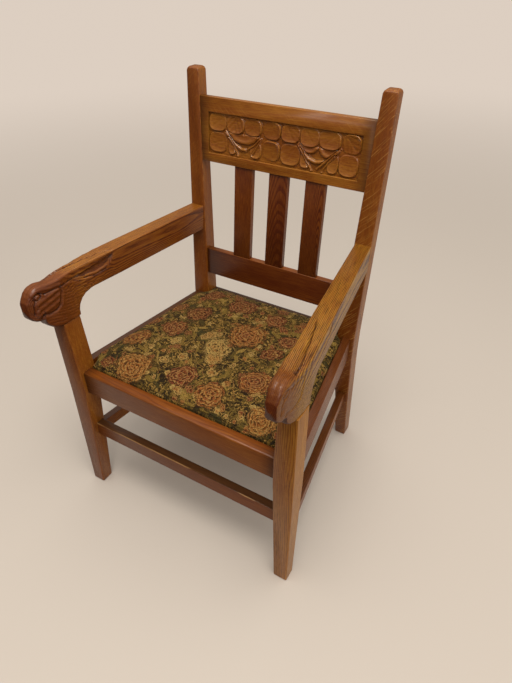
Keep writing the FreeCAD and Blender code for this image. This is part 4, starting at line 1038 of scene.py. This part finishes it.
def makeTapestryCloth():
    # Ground, leaves and flowers are colour ramps read at a tone that the threads make ragged. Each is
    # laid over the last where its own field passes a level, with a dark line along that border.
    material, shader, start = newMaterial("tapestry_cloth")
    place = objectPlace(start)
    outline = rgba(tapestry["outline"])
    threads = place.vector("MULTIPLY", tapestry["threads"])
    speckle = start.node("ShaderNodeTexWhiteNoise", None, {"Vector": threads.vector("FLOOR")})
    patch = place.noise(260.0, 2.0, 0.6)
    ragged = (speckle - 0.5) * 0.16 + (patch - 0.5) * 0.34

    # ground: dark torn blades
    drift = place.noise(90.0, output="Color").vector("SUBTRACT", (0.5, 0.5, 0.5))
    tuft, rim = tornBlades(place, drift)
    rim = rim + ragged * 0.16
    depth = place.noise(9.0, 2.0, 0.6)
    shade = (tuft - 0.5) * 1.35 + 0.5 + ragged * 0.8 + (depth - 0.5) * 0.9
    ground = shade.ramp((0.10, tapestry["ground"]), (0.32, tapestry["moss"]),
                        (0.58, tapestry["olive"]), (0.95, tapestry["straw"]))
    ground = rim.fade(0.14, 0.02, 0.0, 0.90).blend(ground, outline)

    # leaves, with a pale stripe, barbs and a dark edge
    leafTone = attribute(start, "leafTone")
    vein = attribute(start, "vein")
    shade = leafTone + ragged * 0.9 - vein * 0.25 + (tuft - 0.5) * 0.25
    green = shade.ramp((0.05, tapestry["leafDark"]), (0.5, tapestry["leafMiddle"]),
                       (0.95, tapestry["leafLight"]))
    leaf = attribute(start, "leaf") + ragged * 0.3
    lit = leaf.fade(0.14, 0.22) * leaf.fade(0.46, 0.30) + vein.fade(0.14, 0.04) * 0.6
    green = (lit * (leafTone * 0.9)).blend(green, rgba(tapestry["straw"]))
    barb = attribute(start, "barb").maths("PINGPONG", 0.5)
    green = barb.fade(0.20, 0.04, 0.0, 0.72).blend(green, outline)
    colour = leaf.fade(0.08, 0.16).blend(ground, green)
    leafEdge = leaf.fade(-0.06, 0.04) * leaf.fade(0.18, 0.10)
    colour = (leafEdge * 0.80).blend(colour, outline)

    # flowers
    outward = attribute(start, "reach") - 0.6
    tint = attribute(start, "hue") + ragged * 0.6 + (tuft - 0.5) * 0.35 + outward * 0.28
    flower = tint.ramp((0.0, tapestry["rust"]), (0.25, tapestry["rose"]), (0.5, tapestry["orange"]),
                       (0.72, tapestry["peach"]), (1.0, tapestry["cream"]))
    # petals: rings about the flower's middle, cut into a whole number of petals each
    wobble = place.noise(150.0, 1.0, output="Color")
    runX = attribute(start, "flowerX") + (wobble.part(0) - 0.5) * 13.0
    runY = attribute(start, "flowerY") + (wobble.part(1) - 0.5) * 13.0
    radius = attribute(start, "radius")
    angle = runY.maths("ARCTAN2", runX)
    reach = (runX * runX + runY * runY) ** 0.5 / radius
    layers = (radius / tapestry["petalLength"]).maths("CEIL")
    layer = (reach * layers).maths("FLOOR")
    within = reach * layers - layer
    count = (attribute(start, "petals") + (layer - layers) * 2.0).maths("MAXIMUM", 4.0)
    turn = (angle * count / (2 * math.pi) + layer * 0.5).maths("FRACT")
    across = (turn - 0.5) * (turn - 0.5) * 4.0
    scallop = within + across * 0.42 + ragged * 0.5
    pale = scallop.fade(0.55, 0.82) * scallop.fade(1.0, 0.90)
    flower = (pale * 0.62).blend(flower, rgba(tapestry["cream"]))
    streak = (turn * 3.0).maths("PINGPONG", 0.5).fade(0.18, 0.02) * scallop.fade(0.95, 0.75)
    flower = (streak * 0.5).blend(flower, outline)
    gap = scallop.fade(0.52, 0.05) * 0.8 + scallop.fade(0.94, 1.06) + rim.fade(0.07, 0.01) * 0.6
    flower = (gap * 0.80).blend(flower, outline)
    border = reach + ragged * 0.40 + across * 0.12 + (tuft - 0.5) * 0.16
    colour = border.fade(1.0, 0.93).blend(colour, flower)
    flowerEdge = border.fade(0.88, 0.98) * border.fade(1.12, 1.0)
    colour = (flowerEdge * 0.80).blend(colour, outline)

    # the weave: each thread has its own brightness and is drawn darker where it dips, a painted shade
    thread = threads.vector("FRACTION")
    weftWave = (thread.part(0) - 0.5).maths("ABSOLUTE")
    warpWave = (thread.part(1) - 0.5).maths("ABSOLUTE")
    hollow = (weftWave * 2) ** 3.0 * 0.6 + (warpWave * 2) ** 3.0 * 0.6
    value = 0.66 + speckle * 0.64 - hollow * 0.35
    grey = start.node("ShaderNodeCombineColor", None, {0: value, 1: value, 2: value})
    colour = start.node("ShaderNodeMix", {"data_type": "RGBA", "blend_type": "MULTIPLY"},
                        {0: 1.0, 6: colour, 7: grey}, 2)
    feed(shader, "Base Color", colour)
    shader.inputs["Roughness"].default_value = 0.88
    shader.inputs["Specular IOR Level"].default_value = 0.10
    addBump(shader, 0.55, 0.0006, 1.0 - hollow + (patch - 0.5) * 0.8)
    return material


# The cover's walls: down the frame's edge and turned in below it. Pairs are inset and height, in mm.
coverEdge = [
    (4.2, 438.0), (2.4, 437.1), (1.1, 435.8), (0.4, 433.4), (0.2, 431.0), (0.1, 418.0), (0.8, 415.2),
    (2.4, 414.4), (12, 414.4), (26, 414.4), (26.3, 415.0), (25.9, 415.6), (12, 415.6), (3.0, 415.6),
    (1.6, 417.5), (1.7, 431.0), (3.0, 435.6),
]


def addCoverEdge(pad):
    # the closed profile of inset and height carried round the seat's edge, and joined to the pad's mesh
    angle = roundAngles(seatShape["ringPoints"])
    rings = [seatRing(seatReach(angle, inset), angle, height) for inset, height in coverEdge + coverEdge[:1]]
    edge = makePiece("cover_edge", [np.array(rings)], ring=True, sharp=180, merged=True)
    both = bmesh.new()
    both.from_mesh(pad.data)
    both.from_mesh(edge.data)
    both.to_mesh(pad.data)
    both.free()
    bpy.data.objects.remove(edge)
    pad.data.shade_smooth()


tapestryCloth = makeTapestryCloth()
cushion = makePad()
stuffPad(cushion)
addCoverEdge(cushion)
addTapestryFields(cushion)
cushion.data.materials.clear()
cushion.data.materials.append(tapestryCloth)
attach(cushion, "drop_in_seat")
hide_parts("seat_cover", "seat_stuffing")
print("cushion stuffed:", len(cushion.data.polygons), "faces")


# Seat frame and corner blocks: plain pale wood on the CAD shapes.
plainBoards = {
    "seat_frame_front": ("across", 0.55),
    "seat_frame_rear": ("across", 0.50),
    "seat_frame_left": ("deep", 0.50),
    "seat_frame_right": ("deep", 0.60),
    "corner_block_front_left": ("across", 0.25),
    "corner_block_front_right": ("across", 0.35),
    "corner_block_rear_left": ("across", 0.30),
    "corner_block_rear_right": ("across", 0.20),
}
for number, (node, (way, tone)) in enumerate(plainBoards.items()):
    made = makeWood("plain_" + node, plainLook, grainTurns[way], middleOf(node), (0.05, 0.04), tone,
                    wornAndLit=0.0, contrast=0.35, seed=2.0 + number)
    nodes[node].data.materials.clear()
    nodes[node].data.materials.append(made)


# Webbing: jute straps woven over and under each other, lapped over the seat frame. Millimetres.
webbingLook = {
    "width": 50.0,
    "thickness": 1.4,
    "middle": 437.4,
    "sway": 0.8,
    # the straps' middles, across the seat and along it, and how far they reach
    "lengthways": [-92.0, 0.0, 92.0],
    "crossways": [-66.25, 25.75, 117.75],
    "front": -192.3,
    "back": 243.8,
    "reaches": [258.6, 245.5, 232.4],
    "jute": (0.30, 0.205, 0.105),
    "juteDark": (0.13, 0.080, 0.038),
    "stripe": (0.10, 0.022, 0.014),
}


def strapGrid(start, end, crossings, first, centre, lengthways):
    # a flat band along a line; its height is middle + sway x a softened line that is 1 over and -1 under
    # the straps it crosses
    run = np.linspace(start, end, 160)
    knots = [start, start + 20] + crossings + [end - 20, end]
    sways = [-1, -1] + [first * (-1) ** number for number in range(len(crossings))] + [-1, -1]
    height = webbingLook["middle"] + webbingLook["sway"] * softLine(zip(knots, sways), run, 14)
    half = webbingLook["width"] / 2
    thin = webbingLook["thickness"] / 2
    section = [(-half, 0), (-half + 1, -thin), (-8, -thin), (8, -thin), (half - 1, -thin), (half, 0),
               (half - 1, thin), (8, thin), (-8, thin), (-half + 1, thin)]
    across = np.array([pair[0] for pair in section])
    up = height[:, None] + np.array([pair[1] for pair in section])
    run = run[:, None] + 0 * across
    side = centre + across + 0 * run
    return np.stack([side, run, up] if lengthways else [run, side, up], axis=-1)


def makeWebbing(name, lengthways):
    # every strap starts over or under in turn; acrossStrap is -1 to 1 from one edge of it to the other
    grids = []
    if lengthways:
        for number, centre in enumerate(webbingLook["lengthways"]):
            grids.append(strapGrid(webbingLook["front"], webbingLook["back"], webbingLook["crossways"],
                                   (-1) ** number, centre, True))
    else:
        for number, (centre, reach) in enumerate(zip(webbingLook["crossways"], webbingLook["reaches"])):
            grids.append(strapGrid(-reach, reach, webbingLook["lengthways"], -(-1) ** number, centre, False))
    piece = makePiece(name, grids, ring=True, capped=True, sharp=60)
    half = webbingLook["width"] / 2
    offsets = []
    for grid, centre in zip(grids, webbingLook["lengthways" if lengthways else "crossways"]):
        offsets.append(((grid[:, :, 0 if lengthways else 1] - centre) / half).ravel())
    addField(piece, "acrossStrap", np.concatenate(offsets))
    return piece


def makeJute(name, lengthways):
    # twill: the sine of the run plus a zigzag of the place across the strap; its grooves are drawn darker, a
    # painted shade, over the fibres' own colour
    material, shader, start = newMaterial(name)
    place = objectPlace(start)
    run = place.part(1 if lengthways else 0)
    offset = attribute(start, "acrossStrap")
    side = offset.maths("ABSOLUTE")
    zigzag = (offset * 8).maths("PINGPONG", 1.0)
    twill = ((run * 420.0 + zigzag * 1.6) * (2 * math.pi)).maths("SINE")
    fibre = place.noise(1500.0, 3.0, 0.6)
    level = twill * 0.22 + fibre * 0.9
    colour = level.fade(0.1, 0.8).blend(rgba(webbingLook["juteDark"]), rgba(webbingLook["jute"]))
    stripe = side.fade(0.60, 0.64) * side.fade(0.80, 0.76)
    colour = (stripe * 0.75).blend(colour, rgba(webbingLook["stripe"]))
    feed(shader, "Base Color", colour)
    shader.inputs["Roughness"].default_value = 0.9
    addBump(shader, 0.6, 0.0005, level)
    return material


for node, lengthways in (("seat_webbing_lengthways", True), ("seat_webbing_crossways", False)):
    straps = makeWebbing(node + "_woven", lengthways)
    straps.data.materials.append(makeJute(node + "_jute", lengthways))
    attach(straps, "drop_in_seat")
    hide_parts(node)
print("webbing woven")


# Hessian: a stretched sheet over the webbing, under the stuffing.
hessianLook = {
    "inset": 12.0,
    "low": 439.15,
    "high": 439.95,
    "ringPoints": 240,
    "threads": (520.0, 480.0, 1.0),
    "light": (0.36, 0.26, 0.145),
    "dark": (0.10, 0.062, 0.030),
}


def makeHessianWeave():
    # each thread is half a sine wave high, and the higher of the two ways shows; the colour is drawn darker
    # where the threads are low, a painted shade
    material, shader, start = newMaterial("hessian_weave")
    place = objectPlace(start)
    threads = place.vector("MULTIPLY", hessianLook["threads"])
    fraction = threads.vector("ADD", threads.noise(0.35, 2.0, 0.5)).vector("FRACTION")
    across = (fraction.part(0) * math.pi).maths("SINE")
    upward = (fraction.part(1) * math.pi).maths("SINE")
    weave = across.maths("MAXIMUM", upward)
    level = weave * 0.7 + place.noise(900.0, 2.0, 0.6) * 0.5
    colour = level.fade(0.55, 1.1).blend(rgba(hessianLook["dark"]), rgba(hessianLook["light"]))
    feed(shader, "Base Color", colour)
    shader.inputs["Roughness"].default_value = 0.95
    addBump(shader, 0.7, 0.0005, weave)
    return material


def makeHessian():
    # a thin closed slab of rings, each the seat's edge less the inset times a share; its flat size is
    # the outline's width and length less the insets
    angle = roundAngles(hessianLook["ringPoints"])
    reach = seatReach(angle, hessianLook["inset"])
    shares = (0.02, 0.3, 0.6, 0.8, 0.97)
    rings = [(share, hessianLook["low"]) for share in shares]
    rings.append((1.0, (hessianLook["low"] + hessianLook["high"]) / 2))
    rings += [(share, hessianLook["high"]) for share in reversed(shares)]
    grid = [seatRing(reach * share, angle, height) for share, height in rings]
    piece = makePiece("seat_hessian_sheet", [np.array(grid)], ring=True, capped=True, sharp=60,
                      material=makeHessianWeave())
    corners = [(x - hessianLook["inset"], y) for x, y in seatShape["outline"]]
    width = 2 * max(x for x, _ in corners)
    full = corners[-1][1] - corners[0][1]
    length = full - 2 * hessianLook["inset"]
    area = 2 * abs(sum((xa + xb) / 2 * (yb - ya) for (xa, ya), (xb, yb) in zip(corners, corners[1:])))
    area = area * length / full
    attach(piece, "drop_in_seat")
    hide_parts("seat_hessian")
    width * mm
    length * mm
    area * mm * mm


makeHessian()
print("hessian stretched")


# Small iron: tacks under the seat frame and domed screws in the corner blocks.
ironLook = {
    "colour": (0.11, 0.095, 0.080),
    "rust": (0.095, 0.040, 0.020),
    "roughness": 0.45,
    # tacks: how many, their inset from the edge, the height of the cloth under them, and their profile
    "tacks": 60,
    "tackInset": 19.0,
    "tackHeight": 414.4,
    "tackProfile": [(0.4, -0.2), (2.6, -0.2), (3.0, 0.1), (2.4, 0.7), (1.2, 1.0), (0.3, 1.05)],
    # screws: their places along a block, and their profile
    "screwShares": (0.36, 0.66),
    "screwProfile": [(0.3, -0.6), (4.0, -0.6), (4.2, 0.2), (3.2, 0.55), (0.3, 0.6)],
}


def makeIron():
    material, shader, start = newMaterial("old_iron")
    patch = objectPlace(start).noise(700.0, 3.0, 0.6)
    colour = patch.fade(0.45, 0.65).blend(rgba(ironLook["colour"]), rgba(ironLook["rust"]))
    feed(shader, "Base Color", colour)
    feed(shader, "Roughness", ironLook["roughness"] + patch * 0.3)
    shader.inputs["Metallic"].default_value = 0.85
    return material


def turnedHead(centre, normal, profile, sides):
    # a profile turned about the normal: centre + radius x (cos, sin) across the normal + height along it
    normal = np.array(normal, float) / np.linalg.norm(normal)
    first = np.cross(normal, (0.0, 0.0, 1.0) if abs(normal[2]) < 0.9 else (1.0, 0.0, 0.0))
    first = first / np.linalg.norm(first)
    second = np.cross(normal, first)
    angle = roundAngles(sides)
    rings = []
    for radius, height in profile:
        ring = np.outer(np.cos(angle) * radius, first) + np.outer(np.sin(angle) * radius, second)
        rings.append(np.array(centre) + ring + normal * height)
    return np.array(rings)


iron = makeIron()
tackAngles = roundAngles(ironLook["tacks"])
tackReach = seatReach(tackAngles, ironLook["tackInset"])
tackGrids = [turnedHead(spot, (0, 0, -1), ironLook["tackProfile"], 10)
             for spot in seatRing(tackReach, tackAngles, ironLook["tackHeight"])]
tacks = makePiece("cover_tacks", tackGrids, ring=True, capped=True, sharp=50, material=iron)
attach(tacks, "drop_in_seat")

screwGrids = []
for word, side in (("left", -1), ("right", 1)):
    for depth, forward in (("front", 1), ("rear", -1)):
        low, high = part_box(f"corner_block_{depth}_{word}")
        low = np.array(low) / mm
        high = np.array(high) / mm
        inner = np.array([low[0] if side > 0 else high[0], low[1] if forward > 0 else high[1]])
        outer = np.array([high[0] if side > 0 else low[0], high[1] if forward > 0 else low[1]])
        run = outer - inner
        outward = np.array([-side * abs(run[1]), forward * abs(run[0]), 0.0])
        for share in ironLook["screwShares"]:
            spot = (*(inner + run * share), (low[2] + high[2]) / 2)
            screwGrids.append(turnedHead(spot, outward, ironLook["screwProfile"], 16))
screws = makePiece("block_screws", screwGrids, ring=True, capped=True, sharp=50, material=iron)
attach(screws, "chair_frame")
print("small iron placed")


# Floor and light: a pale plain floor, a soft sky, one large lamp above and a small one in front.
stageLook = {
    # mm to each side
    "span": 40000,
    "floor": (0.490, 0.433, 0.380),
    "floorPale": (0.515, 0.458, 0.402),
    "glow": (0.75, 0.645, 0.555),
    # the paper grows as pale as the background over these distances, in metres, from this place
    "glowFrom": (0.7, -0.4, 0.0),
    "glowReach": (1.9, 6.5),
    "sky": (1.0, 0.955, 0.89),
    "skyHigh": 1.15,
    "skyLow": 0.22,
    "skyRise": (0.3, 0.9),
    "skySide": 0.62,
    "background": (0.76, 0.68, 0.59),
    # the pale paper ends here in front, for all but the camera's own rays
    "paperEnd": (-0.42, -0.80),
    "room": (0.05, 0.04, 0.03),
    "lampColour": (1.0, 0.95, 0.88),
    "lampAim": (0.0, 0.0, 0.4),
}


def makeFloor():
    # a flat square sheet: pale paper, which grows as pale as the background far from the chair
    line = np.linspace(-stageLook["span"], stageLook["span"], 3)
    x, y = np.meshgrid(line, line)
    material, shader, start = newMaterial("floor_paper")
    floor = makePiece("floor", [np.stack([x, y, 0 * x], axis=-1)], sharp=180, material=material)
    place = objectPlace(start)
    shade = place.noise(0.5, 2.0, 0.5).blend(rgba(stageLook["floor"]), rgba(stageLook["floorPale"]))
    seen = start.node("ShaderNodeLightPath", output="Is Camera Ray")
    ahead = place.part(1).fade(*stageLook["paperEnd"]) * (1.0 - seen)
    feed(shader, "Base Color", ahead.blend(shade, rgba(stageLook["room"])))
    shader.inputs["Roughness"].default_value = 0.9
    far = place.vector("DISTANCE", stageLook["glowFrom"], output="Value")
    glow = start.node("ShaderNodeEmission", None, {"Color": rgba(stageLook["glow"]), "Strength": 1.0})
    amount = far.fade(*stageLook["glowReach"]) * seen * 0.9
    paper = Knot(start.tree, shader.outputs[0])
    mixed = start.node("ShaderNodeMixShader", None, {0: amount, 1: paper, 2: glow})
    start.tree.links.new(mixed.link, start.tree.nodes["Material Output"].inputs["Surface"])


makeFloor()
world = bpy.data.worlds.new("studio")
bpy.context.scene.world = world
world.use_nodes = True
sky = Knot(world.node_tree, None)
seen = sky.node("ShaderNodeLightPath", output="Is Camera Ray")
outward = sky.node("ShaderNodeTexCoord", output="Generated")
strength = outward.part(2).fade(*stageLook["skyRise"], stageLook["skyLow"], stageLook["skyHigh"])
strength = strength + outward.part(0).fade(0.2, 0.95, 0.0, stageLook["skySide"])
lightSky = sky.node("ShaderNodeBackground", None, {"Color": rgba(stageLook["sky"]), "Strength": strength})
paleSky = sky.node("ShaderNodeBackground", None, {"Color": rgba(stageLook["background"]), "Strength": 1.0})
mixed = sky.node("ShaderNodeMixShader", None, {0: seen, 1: lightSky, 2: paleSky})
world.node_tree.links.new(mixed.link, world.node_tree.nodes["World Output"].inputs["Surface"])

lamps = {
    "ceiling_lamp": {"place": (0.5, -0.7, 3.2), "size": 1.4, "power": 56.0},
    "front_lamp": {"place": (1.3, -2.3, 2.3), "size": 0.6, "power": 12.0},
}
for name, look in lamps.items():
    lamp = bpy.data.lights.new(name, "AREA")
    lamp.size = look["size"]
    lamp.energy = look["power"]
    lamp.color = stageLook["lampColour"]
    lampPiece = bpy.data.objects.new(name, lamp)
    lampPiece.location = look["place"]
    aim = np.array(stageLook["lampAim"]) - np.array(look["place"])
    tilt = math.atan2(math.hypot(aim[0], aim[1]), -aim[2])
    lampPiece.rotation_euler = (tilt, 0, math.atan2(-aim[0], aim[1]))
    bpy.context.scene.collection.objects.link(lampPiece)
bpy.context.scene.view_settings.view_transform = "Standard"

# Camera: found from the picture's edges and corners.
cameraLook = {
    "place": (0.6107, -0.8929, 1.3107),
    "tilt": 90 - 37.6,
    "turn": 30.1,
    "lens": 27.58,
    "sensor": 36,
}
camera = bpy.data.cameras.new("camera")
camera.lens = cameraLook["lens"]
camera.sensor_width = cameraLook["sensor"]
cameraPiece = bpy.data.objects.new("camera", camera)
cameraPiece.location = cameraLook["place"]
cameraPiece.rotation_euler = (math.radians(cameraLook["tilt"]), 0, math.radians(cameraLook["turn"]))
bpy.context.scene.collection.objects.link(cameraPiece)
bpy.context.scene.camera = cameraPiece
print("stage set")
